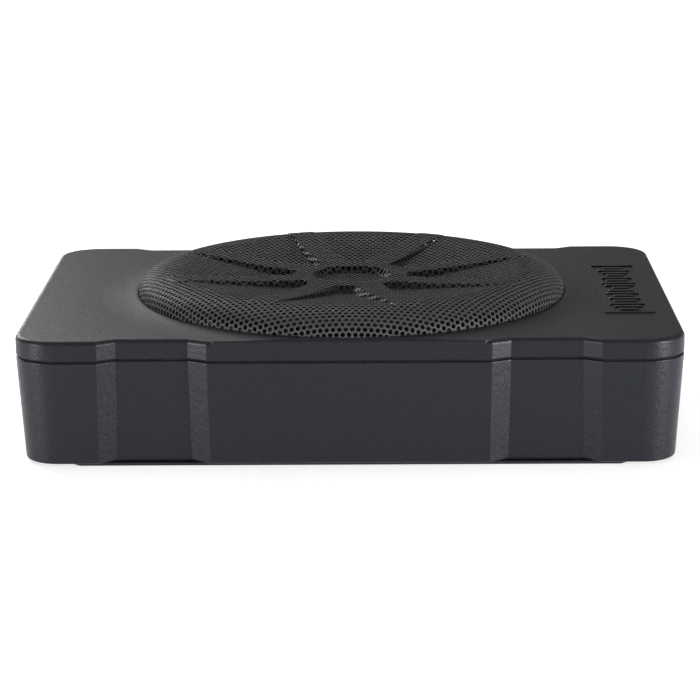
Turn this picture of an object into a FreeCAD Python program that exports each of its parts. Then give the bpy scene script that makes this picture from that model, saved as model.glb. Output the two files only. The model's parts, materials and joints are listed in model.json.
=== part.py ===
"""Powered car subwoofer of the flat, under-seat kind, as an assembly of separate pieces.

Millimetres, +Z up. The origin is the centre of the face that it stands on. The long sides
face -Y (front) and +Y (back), and the controls and sockets are in the -X end. Every size is a
named cell of the sheet "sizes", and the pieces read those cells through their expressions.
"""

import FreeCAD, Part
import math
import os
import re
import Sketcher
from FreeCAD import Vector

SIZES = {
    # Enclosure: plan, recesses in both long sides, and the levels of its shells.
    "box_length": 351, "box_width": 242, "corner_radius": 22, "wall": 3,
    "recess_depth": 5.3, "recess_outer": 131, "recess_outer_floor": 121.5,
    "recess_inner_floor": 84, "recess_inner": 74,
    "tub_taper": 3.7, "tub_bottom": 1.5, "tub_top": 57, "tub_foot_radius": 1.5,
    "cover_bottom": 58, "cover_top": 68.5, "cover_edge_radius": 2.4, "seam_radius": 0.6,
    "gasket_outer_inset": 1.0, "gasket_inner_inset": 2.8,
    "plate_length": 290, "plate_inset": 6.6, "plate_slope": 3, "plate_edge": 0.6,
    "post_radius": 5, "post_seat": 44, "post_corner_x": 155, "post_corner_y": 98,
    "post_side_x": 96, "post_side_y": 103, "screw_radius": 2, "screw_head_radius": 3.5,
    "screw_head": 2.6, "mount_x": 120, "mount_y": 80, "mount_hole_radius": 2.5,
    "mount_boss_radius": 6, "mount_boss_top": 12,
    # Small fasteners: pilot holes, shanks and heads.
    "pilot_radius": 1.3, "small_shank": 1.25, "small_hole": 1.45, "stand_radius": 4,
    "base_screw_x": 45, "base_screw_edge": 8, "base_screw_inset": 13, "base_screw_tip": 5,
    "base_head_radius": 3, "base_shank": 1.45, "sink_radius": 3.2, "sink_depth": 1.2,
    "pan_head_radius": 3.6, "pan_head": 2.2, "board_head_radius": 2.6, "board_head": 1.8,
    "panel_head_radius": 2.5, "panel_head": 1.6,
    # Raised collar and baffle of the cover, and the grille that sits in it.
    "opening_radius": 119.6, "collar_crest": 1.4, "collar_crest_radius": 121, "collar_foot_radius": 140,
    "baffle_bottom": 58.5, "baffle_top": 62, "baffle_cutout": 93.5, "ring_wall_radius": 122.4,
    "grille_radius": 119, "grille_sheet": 1, "grille_foot": 63.5, "grille_waist": 2.2,
    "clip_half": 5, "clip_sheet": 1.2, "clip_reach": 11, "clip_back": 5.2, "clip_nose": 1.4,
    "dome_height": 14.2, "dome_edge": 94, "dome_power": 2.3, "dish_drop": 4.4,
    "hub_radius": 21.8, "hub_floor_radius": 18.6, "hub_depth": 3.4,
    "pocket_apex": 31.5, "pocket_chord": 95, "pocket_depth": 4.2, "pocket_end_depth": 0.5,
    "pocket_slope": 4, "spoke_width": 15, "star_turn": -4.6,
    # Badge frame on the cover.
    "badge_inner": 137.2, "badge_outer": 164.5, "badge_half": 60.5, "badge_line": 1.6, "badge_proud": 0.7,
    # Driver.
    "yoke_bottom": 8, "yoke_plate_top": 13, "yoke_radius": 52, "pole_radius": 23.5, "pole_top": 32,
    "vent_radius": 6, "magnet_top": 27, "magnet_bore": 31, "magnet_radius": 57,
    "plate_top": 32, "gap_radius": 26.6, "front_plate_radius": 53,
    "former_radius": 24.3, "former_wall": 0.3, "former_bottom": 22, "coil_bottom": 22.8, "coil_top": 36.2,
    "coil_radius": 25.6, "neck_level": 47, "spider_level": 40, "spider_radius": 66, "spider_sheet": 0.8,
    "spider_wave": 1.3, "landing_inner": 60, "landing_level": 39.2,
    "basket_floor": 34.5, "basket_inner": 34, "basket_root": 68, "basket_bend_level": 41,
    "basket_sheet": 2, "basket_throat": 91, "basket_radius": 106, "flange_bottom": 63, "flange_top": 65.2,
    "cone_radius": 79, "cone_level": 65.2, "cone_sheet": 1.2, "cap_radius": 33, "cap_height": 8,
    "roll_inner": 78.5, "roll_outer": 93.5, "roll_lip": 3.5, "roll_sheet": 1.2,
    "driver_hole_radius": 2.4, "driver_screw_radius": 1.95, "driver_screw_circle": 101.5,
    "window_width": 26, "window_low": 44, "window_high": 57,
    # Control panel recess in the -X end, and what is mounted in it.
    "recess_half": 88, "recess_low": 12, "recess_high": 52,
    "panel_face": -165.5, "panel_back": -163, "recess_floor_back": -160,
    "panel_window_half": 82, "panel_window_low": 17, "panel_window_high": 47,
    "knob_level": 36, "knob_radius": 6.5, "knob_face": -172, "knob_back": -167.6, "knob_pointer": 1.2,
    "shaft_radius": 3, "running_gap": 0.05, "bushing_radius": 3.6, "bushing_end": -167,
    "pot_half": 6, "pot_back": -152, "shaft_end": -154,
    "gain_y": 34, "crossover_y": 52, "bass_y": 70,
    "switch_level": 22.5, "phase_y": 43, "input_y": 61, "slider_half": 1.8, "slider_high": 1.5,
    "slider_travel": 4, "slider_face": -167.6, "slider_back": -161.8, "switch_half": 6, "switch_high": 4,
    "nut_radius": 5.4, "nut_thick": 1.2, "knob_skin": 1.4, "insert_back": -155, "fit_gap": 0.2,
    "power_y": -66.5, "power_half_y": 11.5, "power_z": 32, "power_half_z": 8,
    "power_pin_pitch": 6, "power_pin_radius": 1.3,
    "signal_y": 12.5, "signal_half_y": 9.5, "signal_z": 32, "signal_half_z": 6,
    "signal_pin_pitch": 5.5, "signal_pin_radius": 0.8,
    "remote_y": 75.75, "remote_half_y": 5.25, "remote_z": 22.5, "remote_half_z": 4.5,
    "remote_pin_pitch": 2.5, "remote_pin_radius": 0.4,
    "socket_rim": 1.5, "socket_depth": 7, "socket_proud": 4.5, "pin_reach": 2.5,
    "fuse_y": -40, "fuse_z": 32, "fuse_half_y": 9.2, "fuse_half_z": 2.5, "fuse_proud": 7, "fuse_room": 0.4,
    "holder_half_y": 11, "holder_half_z": 5, "holder_proud": 4,
    "blade_y": 6, "blade_half": 2.5, "blade_half_thick": 0.35, "blade_back": -159,
    "jack_y": -14, "jack_high": 40, "jack_low": 24, "jack_radius": 4.15, "jack_bore": 3.5,
    "jack_flange_radius": 6, "jack_flange": 1.2, "jack_proud": 7, "jack_back": -157,
    "contact_radius": 1.6, "contact_bore": 1, "contact_back": -158,
    "lamp_y": 28, "lamp_radius": 1.5, "lamp_flange_radius": 2.2,
    # Electronics.
    "partition_outer": -111.5, "partition_inner": -109, "partition_half": 106,
    "board_low_x": -157, "board_high_x": -114, "board_half": 90, "board_bottom": 14, "board_top": 15.6,
    "board_screw_x": 5, "board_screw_y": 6, "spreader_thick": 4, "spreader_top": 46,
    "spreader_half": 80, "spreader_edge": 6, "transistor_half": 5, "transistor_thick": 4.6,
    "capacitor_x": -137, "capacitor_radius": 8, "capacitor_height": 29,
    "inductor_x": -138, "inductor_radius": 9, "inductor_core": 6, "inductor_bore": 3,
    "inductor_flange": 2, "inductor_height": 16,
    "coil_x": -138, "coil_bore": 6, "coil_outer": 13.5, "coil_skin": 2, "coil_height": 16,
    "chip_low_x": -146, "chip_high_x": -138, "chip_half": 5, "chip_height": 1.8,
    "lead_y": 2, "lead_z": 40, "lead_radius": 1.2, "lead_hole": 1.4, "lead_bend": 3.5,
    "grommet_hole": 5, "grommet_lip_radius": 7, "grommet_lip": 1.5, "braid_radius": 0.8, "braid_bend": 8,
}

doc = FreeCAD.newDocument("subwoofer")
sheet = doc.addObject("Spreadsheet::Sheet", "sizes")
for row, (alias, number) in enumerate(SIZES.items(), start=1):
    sheet.set(f"A{row}", alias)
    sheet.set(f"B{row}", str(number))
    sheet.setAlias(f"B{row}", alias)
doc.recompute()

ALIAS = re.compile(r"\b(" + "|".join(SIZES) + r")\b")
PIECES = []
counter = iter(range(1, 10000))


def formula(text):
    """A formula of size names, as an expression that reads the sheet."""
    return ALIAS.sub(r"sizes.\1", str(text))


def value(text):
    """What a formula comes to now, in millimetres."""
    return float(sheet.evalExpression(formula(text)))


def bind(item, **formulas):
    """Binds properties of an object to formulas."""
    for name, text in formulas.items():
        item.setExpression(name, formula(text))
    return item


def place(item, x=0, y=0, z=0, axis="z"):
    """Stands an object at a bound place, with its own Z turned to lie along the named axis."""
    turn = {"z": (Vector(0, 0, 1), 0), "x": (Vector(0, 1, 0), 90), "y": (Vector(1, 0, 0), -90)}[axis]
    item.Placement = FreeCAD.Placement(Vector(), FreeCAD.Rotation(*turn))
    for name, text in (("x", x), ("y", y), ("z", z)):
        item.setExpression(f".Placement.Base.{name}", formula(text))
    return item


def add(kind):
    """A new object of the document, under a neutral name."""
    return doc.addObject(kind, f"item{next(counter)}")


def piece(label, item):
    """Marks an object as a finished piece of the assembly."""
    item.Label = label
    PIECES.append(item)
    return item


# ---- plain shapes ----------------------------------------------------------------------------

def block(x, y, z):
    """A box between three pairs of formulas."""
    item = add("Part::Box")
    sides = {"Length": x, "Width": y, "Height": z}
    bind(item, **{name: f"({high}) - ({low})" for name, (low, high) in sides.items()})
    return place(item, x[0], y[0], z[0])


def rod(radius, span, x=0, y=0, axis="z"):
    """A cylinder: span is its ends along axis, and x, y its place on the other two axes in order."""
    item = bind(add("Part::Cylinder"), Radius=radius, Height=f"({span[1]}) - ({span[0]})")
    where = {"z": (x, y, span[0]), "x": (span[0], x, y), "y": (x, span[0], y)}[axis]
    return place(item, *where, axis=axis)


def cone_rod(low_radius, high_radius, span, x=0, y=0):
    """A truncated cone that stands on Z."""
    item = bind(add("Part::Cone"), Radius1=low_radius, Radius2=high_radius,
                Height=f"({span[1]}) - ({span[0]})")
    return place(item, x, y, span[0])


def fuse(*items):
    """One solid from several that meet."""
    item = add("Part::MultiFuse")
    item.Shapes = list(items)
    item.Refine = True
    return item


def cut(base, *tools):
    """A solid with others taken out of it."""
    item = add("Part::Cut")
    item.Base = base
    item.Tool = tools[0] if len(tools) == 1 else fuse(*tools)
    return item


def common(*items):
    """What several solids share."""
    item = add("Part::MultiCommon")
    item.Shapes = list(items)
    return item


def group(*items):
    """Several separate solids under one name, such as a set of like screws."""
    item = add("Part::Compound")
    item.Links = list(items)
    return item


# ---- sketched shapes -------------------------------------------------------------------------

def new_sketch(body, plane, level=None):
    """A sketch on one of a body's own origin planes, lifted to a bound level."""
    sketch = body.newObject("Sketcher::SketchObject", f"sketch{next(counter)}")
    sketch.AttachmentSupport = (next(f for f in body.Origin.OriginFeatures if f.Role == plane), [""])
    sketch.MapMode = "FlatFace"
    if level is not None:
        sketch.setExpression(".AttachmentOffset.Base.z", formula(level))
    return sketch


def draw(sketch, points):
    """Closes a line through bound points. A third entry makes the next run an arc: (height of its
    centre, 1 if it turns anticlockwise or -1)."""
    spots = [Vector(value(p[0]), value(p[1])) for p in points]
    ends = []
    for i, (p, start) in enumerate(zip(points, spots)):
        end = spots[(i + 1) % len(spots)]
        if len(p) == 2:
            sketch.addGeometry(Part.LineSegment(start, end))
            ends.append((1, 2))
            continue
        height, turn = value(p[2][0]), p[2][1]
        middle = (start + end) / 2
        across = (end.x - start.x)
        centre = Vector(middle.x - (height - middle.y) * (end.y - start.y) / across, height)
        circle = Part.Circle(centre, Vector(0, 0, 1), (start - centre).Length)
        first, last = (start, end) if turn > 0 else (end, start)
        sketch.addGeometry(Part.ArcOfCircle(circle, circle.parameter(first), circle.parameter(last)))
        ends.append((1, 2) if turn > 0 else (2, 1))
    for i, p in enumerate(points):
        after = (i + 1) % len(points)
        sketch.addConstraint(Sketcher.Constraint("Coincident", i, ends[i][1], after, ends[after][0]))
        pin(sketch, i, ends[i][0], "DistanceX", p[0])
        pin(sketch, i, ends[i][0], "DistanceY", p[1])
        if len(p) == 3:
            pin(sketch, i, 3, "DistanceY", p[2][0])
    return sketch


def pin(sketch, edge, end, kind, text):
    """Ties one coordinate of a sketch point to a formula."""
    index = sketch.addConstraint(Sketcher.Constraint(kind, -1, 1, edge, end, value(text)))
    sketch.setExpression(f"Constraints[{index}]", formula(text))


def turned(points, x=0, y=0, z=0):
    """A turned piece: a section of (radius, height) points, revolved about an upright axis."""
    body = add("PartDesign::Body")
    sketch = draw(new_sketch(body, "XZ_Plane"), points)
    turn = body.newObject("PartDesign::Revolution", f"turn{next(counter)}")
    turn.Profile = sketch
    turn.ReferenceAxis = (sketch, ["V_Axis"])
    turn.Angle = 360
    return place(body, x, y, z)


def tube(inner, outer, span, x=0, y=0):
    """A plain ring or washer with its axis upright."""
    return turned([(inner, span[0]), (outer, span[0]), (outer, span[1]), (inner, span[1])], x, y)


def plan_points(inset):
    """Outline of the enclosure's plan, every face of it pulled in by the inset, corners rounded."""
    shift = f"({inset}) * tan(atan(recess_depth / (recess_outer - recess_outer_floor)) / 2)"
    half = [(f"recess_inner - {shift}", 0), (f"recess_inner_floor - {shift}", 1),
            (f"recess_outer_floor + {shift}", 1), (f"recess_outer + {shift}", 0)]
    side = [(f"-({x})", deep) for x, deep in reversed(half)] + half
    face = f"box_width / 2 - ({inset})"
    end = f"box_length / 2 - ({inset})"
    bend_x = "box_length / 2 - corner_radius"
    bend_y = "box_width / 2 - corner_radius"
    front = [(x, f"-({face} - recess_depth * {deep})") for x, deep in side]
    back = [(x, f"{face} - recess_depth * {deep}") for x, deep in reversed(side)]
    right = [(bend_x, f"-({face})", (f"-({bend_y})", 1)), (end, f"-({bend_y})"),
             (end, bend_y, (bend_y, 1)), (bend_x, face)]
    left = [(f"-({bend_x})", face, (bend_y, 1)), (f"-({end})", bend_y),
            (f"-({end})", f"-({bend_y})", (f"-({bend_y})", 1)), (f"-({bend_x})", f"-({face})")]
    return front + right + back + left


def edges_where(shape, test):
    """Names of the edges that pass a test."""
    edges = enumerate(shape.Edges, start=1)
    return [f"Edge{n}" for n, edge in edges if test([v.Point for v in edge.Vertexes])]


def round_edges(body, base, radius, test):
    """Adds a fillet to the edges of a body's last feature that pass a test."""
    doc.recompute()
    fillet = body.newObject("PartDesign::Fillet", f"fillet{next(counter)}")
    fillet.Base = (base, edges_where(base.Shape, test))
    bind(fillet, Radius=radius)
    doc.recompute()
    return fillet


def plan_block(inset, high, low, taper=0):
    """A solid of the enclosure's plan, from an upper level down, drawn in by a taper in degrees.
    Gives the body and its pad."""
    body = add("PartDesign::Body")
    pad = body.newObject("PartDesign::Pad", f"pad{next(counter)}")
    pad.Profile = draw(new_sketch(body, "XY_Plane", high), plan_points(inset))
    pad.Reversed = True
    bind(pad, Length=f"({high}) - ({low})", TaperAngle=f"-1 * ({taper})")
    return body, pad


def at_level(level):
    """A test for edges whose ends lie at a level."""
    return lambda ends: all(abs(p.z - value(level)) < 0.01 for p in ends)


def rounded_plan_block(high, low, taper, top_radius, foot_radius):
    """The enclosure's full plan as a block, its top and bottom rims rounded."""
    body, pad = plan_block("0", high, low, taper)
    top = round_edges(body, pad, top_radius, at_level(high))
    round_edges(body, top, foot_radius, at_level(low))
    return body


def signs():
    """The four quarters of the plan, as pairs of signs."""
    return [(-1, -1), (1, -1), (1, 1), (-1, 1)]


def post_places():
    """Formulas for the places of the eight cover screws."""
    rows = [("post_corner_x", "post_corner_y"), ("post_side_x", "post_side_y")]
    return [(f"{i} * {x}", f"{j} * {y}") for x, y in rows for i, j in signs()]


# ---- enclosure -------------------------------------------------------------------------------

def make_lower_housing():
    """The tub: drafted walls, screw posts, mounting bosses, and the framed recess for the panel."""
    tub = ("tub_top", "tub_bottom", "tub_taper", "seam_radius", "tub_foot_radius")
    cavity, _ = plan_block("wall", "tub_top + 1", "tub_bottom + wall", "tub_taper")
    shell = cut(rounded_plan_block(*tub), cavity)
    posts = [rod("post_radius", ("tub_bottom + 1", "tub_top"), x, y) for x, y in post_places()]
    bosses = [rod("mount_boss_radius", ("tub_bottom + 2", "mount_boss_top"), x, y)
              for x, y in mount_places()]
    stands = [rod("stand_radius", ("tub_bottom + 2", "board_bottom"), x, y)
              for x, y in board_screw_places()]
    frame = block(("-box_length / 2 + 1", "recess_floor_back"),
                  ("-recess_half - wall", "recess_half + wall"), ("recess_low - wall", "recess_high + wall"))
    solid = fuse(shell, common(frame, rounded_plan_block(*tub)), *posts, *bosses, *stands)
    holes = [block(("-box_length / 2 - 1", "panel_back"), ("-recess_half", "recess_half"),
                   ("recess_low", "recess_high")),
             block(("panel_back - 1", "recess_floor_back + 1"), ("-panel_window_half", "panel_window_half"),
                   ("panel_window_low", "panel_window_high"))]
    for x, y in post_places():
        holes.append(rod("screw_head_radius + 0.4", ("0", "post_seat"), x, y))
        holes.append(rod("screw_radius + 0.25", ("post_seat - 1", "tub_top + 1"), x, y))
    holes += [rod("mount_hole_radius", ("0", "mount_boss_top - 2"), x, y) for x, y in mount_places()]
    holes += [rod("pilot_radius", ("board_bottom - 8", "board_bottom + 1"), x, y)
              for x, y in board_screw_places()]
    holes += [rod("base_shank + 0.25", ("tub_bottom - 1", "base_screw_tip + 0.5"), x, y)
              for x, y in base_screw_places()]
    holes += [rod("pilot_radius", ("panel_back - 1", "recess_floor_back + 1"), y, z, axis="x")
              for y, z in panel_screw_places()]
    piece("lower_housing", cut(solid, *holes))


def mount_places():
    """Formulas for the places of the four mounting holes."""
    return [(f"{i} * mount_x", f"{j} * mount_y") for i, j in signs()]


def base_screw_places():
    """Formulas for the places of the eight base plate screws."""
    columns = ("plate_length / 2 - base_screw_edge", "base_screw_x")
    row = "box_width / 2 - plate_inset - base_screw_inset"
    return [(f"{i} * ({x})", f"{j} * ({row})") for x in columns for i, j in signs()]


def board_screw_places():
    """Formulas for the places of the amplifier board's four screws."""
    columns = ("board_low_x + board_screw_x", "board_high_x - board_screw_x")
    return [(x, f"{j} * (board_half - board_screw_y)") for x in columns for j in (-1, 1)]


def panel_screw_places():
    """Formulas for the places (Y, Z) of the control panel's six screws."""
    rows = ("(recess_low + panel_window_low) / 2", "(recess_high + panel_window_high) / 2")
    columns = ("-(recess_half + panel_window_half) / 2", "0", "(recess_half + panel_window_half) / 2")
    return [(y, z) for y in columns for z in rows]


def make_top_cover():
    """The lid: a skirted shell with a raised collar round the grille and a sunken driver baffle."""
    rims = ("0", "cover_edge_radius", "seam_radius")
    slab = rounded_plan_block("cover_top", "cover_bottom", *rims)
    raised = rounded_plan_block("cover_top + collar_crest", "cover_bottom", *rims)
    reach = "(collar_foot_radius - collar_crest_radius)"
    sweep = f"cover_top + ({reach} * {reach} + collar_crest * collar_crest) / (2 * collar_crest)"
    hill = turned([("0", "cover_bottom + 1"), ("collar_foot_radius", "cover_bottom + 1"),
                   ("collar_foot_radius", "cover_top", (sweep, -1)),
                   ("collar_crest_radius", "cover_top + collar_crest"), ("0", "cover_top + collar_crest")])
    cavity, _ = plan_block("wall", "cover_top - wall", "cover_bottom - 1")
    hollow = cut(cavity, rod("ring_wall_radius", ("cover_bottom - 2", "cover_top")))
    below = rod("opening_radius", ("cover_bottom - 1", "baffle_bottom"))
    opening = rod("opening_radius", ("baffle_top", "cover_top + 5"))
    throat = rod("baffle_cutout", ("cover_bottom - 1", "baffle_top + 1"))
    posts = [rod("post_radius", ("cover_bottom", "cover_top - wall + 0.5"), x, y) for x, y in post_places()]
    pilots = [rod("screw_radius", ("cover_bottom - 1", "cover_top - wall"), x, y) for x, y in post_places()]
    pilots += [rod("driver_screw_radius + 0.05", ("baffle_bottom - 1", "baffle_top + 1"), x, y)
               for x, y in driver_screw_places()]
    badge = cut(block(("badge_inner", "badge_outer"), ("-badge_half", "badge_half"),
                      ("cover_top - 1", "cover_top + badge_proud")),
                block(("badge_inner + badge_line", "badge_outer - badge_line"),
                      ("-badge_half + badge_line", "badge_half - badge_line"),
                      ("cover_top - 2", "cover_top + 2")))
    shell = cut(fuse(slab, common(raised, hill)), hollow)
    pierced = cut(shell, below, opening, throat)
    piece("top_cover", cut(fuse(pierced, badge, *posts), *pilots))


def driver_screw_places():
    """Formulas for the places of the driver's eight screws."""
    return [(f"driver_screw_circle * cos({45 * n + 22.5})", f"driver_screw_circle * sin({45 * n + 22.5})")
            for n in range(8)]


def make_cover_gasket():
    """The seal between the tub's rim and the lid."""
    outer, _ = plan_block("gasket_outer_inset", "cover_bottom", "tub_top")
    inner, _ = plan_block("gasket_inner_inset", "cover_bottom + 1", "tub_top - 1")
    piece("cover_gasket", cut(outer, inner))


def make_base_plate():
    """The plate that the box stands on, with sloped ends and countersunk holes."""
    plate = add("PartDesign::Body")
    pad = plate.newObject("PartDesign::Pad", f"pad{next(counter)}")
    pad.Profile = draw(new_sketch(plate, "XZ_Plane"),
                       [("-plate_length / 2 + plate_slope", "0"), ("plate_length / 2 - plate_slope", "0"),
                        ("plate_length / 2", "tub_bottom - plate_edge"), ("plate_length / 2", "tub_bottom"),
                        ("-plate_length / 2", "tub_bottom"), ("-plate_length / 2", "tub_bottom - plate_edge")])
    pad.Midplane = True
    bind(pad, Length="box_width - 2 * plate_inset")
    holes = [cone_rod("sink_radius", "base_shank + 0.05", ("-0.01", "sink_depth"), x, y)
             for x, y in base_screw_places()]
    holes += [rod("base_shank + 0.25", ("-1", "tub_bottom + 1"), x, y) for x, y in base_screw_places()]
    holes += [rod("mount_hole_radius", ("-1", "tub_bottom + 1"), x, y) for x, y in mount_places()]
    piece("base_plate", cut(plate, *holes))


def make_screws():
    """The fasteners, each kind as one group."""
    flat = [fuse(cone_rod("base_head_radius", "base_shank", ("0.1", "sink_depth"), x, y),
                 rod("base_shank", ("0.2", "base_screw_tip"), x, y)) for x, y in base_screw_places()]
    piece("base_screws", group(*flat))
    long = [fuse(rod("screw_head_radius", ("post_seat - screw_head", "post_seat"), x, y),
                 rod("screw_radius - 0.05", ("post_seat - 0.5", "cover_top - wall - 0.5"), x, y))
            for x, y in post_places()]
    piece("cover_screws", group(*long))
    pan = [fuse(rod("pan_head_radius", ("flange_top", "flange_top + pan_head"), x, y),
                rod("driver_screw_radius", ("baffle_bottom + 0.2", "flange_top + 1"), x, y))
           for x, y in driver_screw_places()]
    piece("driver_screws", group(*pan))
    small = [fuse(rod("board_head_radius", ("board_top", "board_top + board_head"), x, y),
                  rod("small_shank", ("board_bottom - 6", "board_top + 1"), x, y))
             for x, y in board_screw_places()]
    piece("board_screws", group(*small))
    side = [fuse(rod("panel_head_radius", ("panel_face - panel_head", "panel_face"), y, z, axis="x"),
                 rod("small_shank", ("panel_face - 1", "recess_floor_back"), y, z, axis="x"))
            for y, z in panel_screw_places()]
    piece("panel_screws", group(*side))


# ---- grille ----------------------------------------------------------------------------------

def dome_level(radius, sunk=0):
    """Height of the grille's outer face at a radius, before its star is pressed in."""
    edge = value("dome_edge")
    rim = value("grille_radius") - sunk
    foot = value("grille_waist")
    top = value("dome_height")
    if radius <= edge:
        return top - sunk - value("dish_drop") * (1 - (radius / edge) ** 2)
    along = min(1.0, (radius - edge) / (rim - edge))
    return foot + (top - sunk - foot) * (1 - along ** value("dome_power")) ** (1 / value("dome_power"))


def dome_solid(sunk):
    """The filled volume under the grille's sheet, its surface sunk by a distance."""
    base = value("cover_top")
    rim = value("grille_radius") - sunk
    edge = value("dome_edge")
    dish = [edge * n / 6 for n in range(7)]
    bend = [edge + (rim - edge) * math.sin(math.pi * n / 24) for n in range(1, 13)]
    points = [Vector(r, 0, base + dome_level(r, sunk)) for r in dish + bend]
    curve = Part.BSplineCurve()
    curve.interpolate(points)
    foot = Vector(rim, 0, value("grille_foot") - 1 * (sunk > 0))
    corner = Vector(0, 0, foot.z)
    edges = [curve.toShape(), Part.makeLine(points[-1], foot), Part.makeLine(foot, corner),
             Part.makeLine(corner, points[0])]
    return Part.Face(Part.Wire(edges)).revolve(Vector(), Vector(0, 0, 1), 360)


def pocket_solid(direction, sunk):
    """The tool that presses one triangular pocket of the star, for a face sunk by a distance."""
    base = value("cover_top")
    half_spoke = value("spoke_width") / 2
    chord = value("pocket_chord")
    apex = value("pocket_apex")
    open_angle = math.radians(22.5)

    def ring(extra, apex_level, chord_level):
        """A level line of the pocket, its walls moved outwards by extra."""
        inner = apex - extra
        outer = chord + extra
        spoke = half_spoke - extra
        wide = [outer * math.tan(open_angle) - spoke / math.cos(open_angle),
                max(1.0, inner * math.tan(open_angle) - spoke / math.cos(open_angle))]
        spots = [Vector(inner, -wide[1], apex_level), Vector(outer, -wide[0], chord_level),
                 Vector(outer, wide[0], chord_level), Vector(inner, wide[1], apex_level)]
        return Part.makePolygon(spots + spots[:1])

    apex_floor = base + dome_level(apex + value("pocket_slope")) - value("pocket_depth") - sunk
    chord_floor = base + dome_level(chord) - value("pocket_end_depth") - sunk
    rise = 2 * value("pocket_depth")
    slope = value("pocket_slope")
    floor = ring(-slope * 0.5, apex_floor, chord_floor)
    mouth = ring(slope * 1.0, apex_floor + rise, chord_floor + rise)
    tool = Part.makeLoft([floor, mouth], True, True)
    tool.rotate(Vector(), Vector(0, 0, 1), direction)
    return tool


def pressed_solid(sunk):
    """A dome solid with the star's pockets and hub pressed into it."""
    base = value("cover_top") + dome_level(0)
    tools = [pocket_solid(45 * n + value("star_turn"), sunk) for n in range(8)]
    depth = value("hub_depth")
    tools.append(Part.makeCone(value("hub_floor_radius") + sunk / 2, value("hub_radius") + 3 + sunk / 2,
                               depth + 3, Vector(0, 0, base - depth - sunk)))
    return dome_solid(sunk).cut(tools)


def make_grille():
    """The steel grille: a dished dome with a raised eight-spoke star, as an even sheet."""
    grille = add("Part::Feature")
    grille.Shape = pressed_solid(0).cut(pressed_solid(value("grille_sheet")))
    piece("grille", grille)
    piece("grille_gasket", tube("grille_radius - 5", "grille_radius - 0.2", ("baffle_top", "grille_foot")))
    piece("grille_clips", group(*[grille_clip(60 * n + 30) for n in range(6)]))


def grille_clip(direction):
    """One of the spring clips that hold the grille's skirt from inside."""
    width = ("-clip_half", "clip_half")
    back = ("grille_radius - clip_back - clip_sheet", "grille_radius - clip_back")
    foot = block(("grille_radius - clip_reach", back[1]), width, ("baffle_top", "baffle_top + clip_sheet"))
    post = block(back, width, ("baffle_top", "grille_foot + 4"))
    arm = block((back[0], "grille_radius - clip_nose"), width, ("grille_foot + 3", "grille_foot + 4"))
    clip = group(fuse(foot, post, arm))
    clip.Placement = FreeCAD.Placement(Vector(), FreeCAD.Rotation(Vector(0, 0, 1), direction))
    return clip


# ---- driver ----------------------------------------------------------------------------------

def make_motor():
    """Magnet, pole piece and top plate, stacked under the basket."""
    piece("t_yoke", turned([("vent_radius", "yoke_bottom"), ("yoke_radius", "yoke_bottom"),
                            ("yoke_radius + 1", "yoke_bottom + 1"), ("yoke_radius + 1", "yoke_plate_top"),
                            ("pole_radius", "yoke_plate_top"), ("pole_radius", "pole_top"),
                            ("vent_radius", "pole_top")]))
    piece("magnet", turned([("magnet_bore", "yoke_plate_top"), ("magnet_radius - 1", "yoke_plate_top"),
                            ("magnet_radius", "yoke_plate_top + 1"), ("magnet_radius", "magnet_top - 1"),
                            ("magnet_radius - 1", "magnet_top"), ("magnet_bore", "magnet_top")]))
    piece("front_plate", tube("gap_radius", "front_plate_radius", ("magnet_top", "plate_top")))


def make_basket():
    """The pressed frame: floor on the top plate, spider landing, windows and screw flange."""
    shell = turned([("basket_inner", "plate_top"), ("basket_root", "plate_top"),
                    ("basket_root", "landing_level - basket_sheet"),
                    ("basket_root + 2", "basket_bend_level - basket_sheet"),
                    ("basket_throat + 1", "flange_bottom - 4"), ("basket_throat + 1", "flange_bottom"),
                    ("basket_radius", "flange_bottom"), ("basket_radius", "flange_top"),
                    ("basket_throat - 1", "flange_top"), ("basket_throat - 1", "flange_bottom - 3"),
                    ("basket_root", "landing_level"), ("landing_inner", "landing_level"),
                    ("landing_inner", "landing_level - basket_sheet"),
                    ("basket_root - basket_sheet", "landing_level - basket_sheet"),
                    ("basket_root - basket_sheet", "basket_floor"), ("basket_inner", "basket_floor")])
    windows = []
    for n in range(8):
        window = group(block(("basket_root - 8", "basket_radius"),
                             ("-window_width / 2", "window_width / 2"), ("window_low", "window_high")))
        window.Placement = FreeCAD.Placement(Vector(), FreeCAD.Rotation(Vector(0, 0, 1), 45 * n + 22.5))
        windows.append(window)
    holes = [rod("driver_hole_radius", ("flange_bottom - 1", "flange_top + 1"), x, y)
             for x, y in driver_screw_places()]
    piece("driver_basket", cut(shell, *windows, *holes))
    seal = tube("baffle_cutout + 0.5", "basket_radius", ("baffle_top", "flange_bottom"))
    bolts = [rod("driver_hole_radius", ("baffle_top - 1", "flange_bottom + 1"), x, y)
             for x, y in driver_screw_places()]
    piece("driver_gasket", cut(seal, *bolts))


def wave(inner, outer, level, height, turns):
    """Points of a corrugated disc's upper or lower face, from its inner rim outwards."""
    steps = 2 * turns
    points = []
    for n in range(steps + 1):
        lift = f"({height}) * {(-1) ** n}" if 0 < n < steps else "0"
        points.append((f"({inner}) + (({outer}) - ({inner})) * {n} / {steps}", f"({level}) + {lift}"))
    return points


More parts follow.
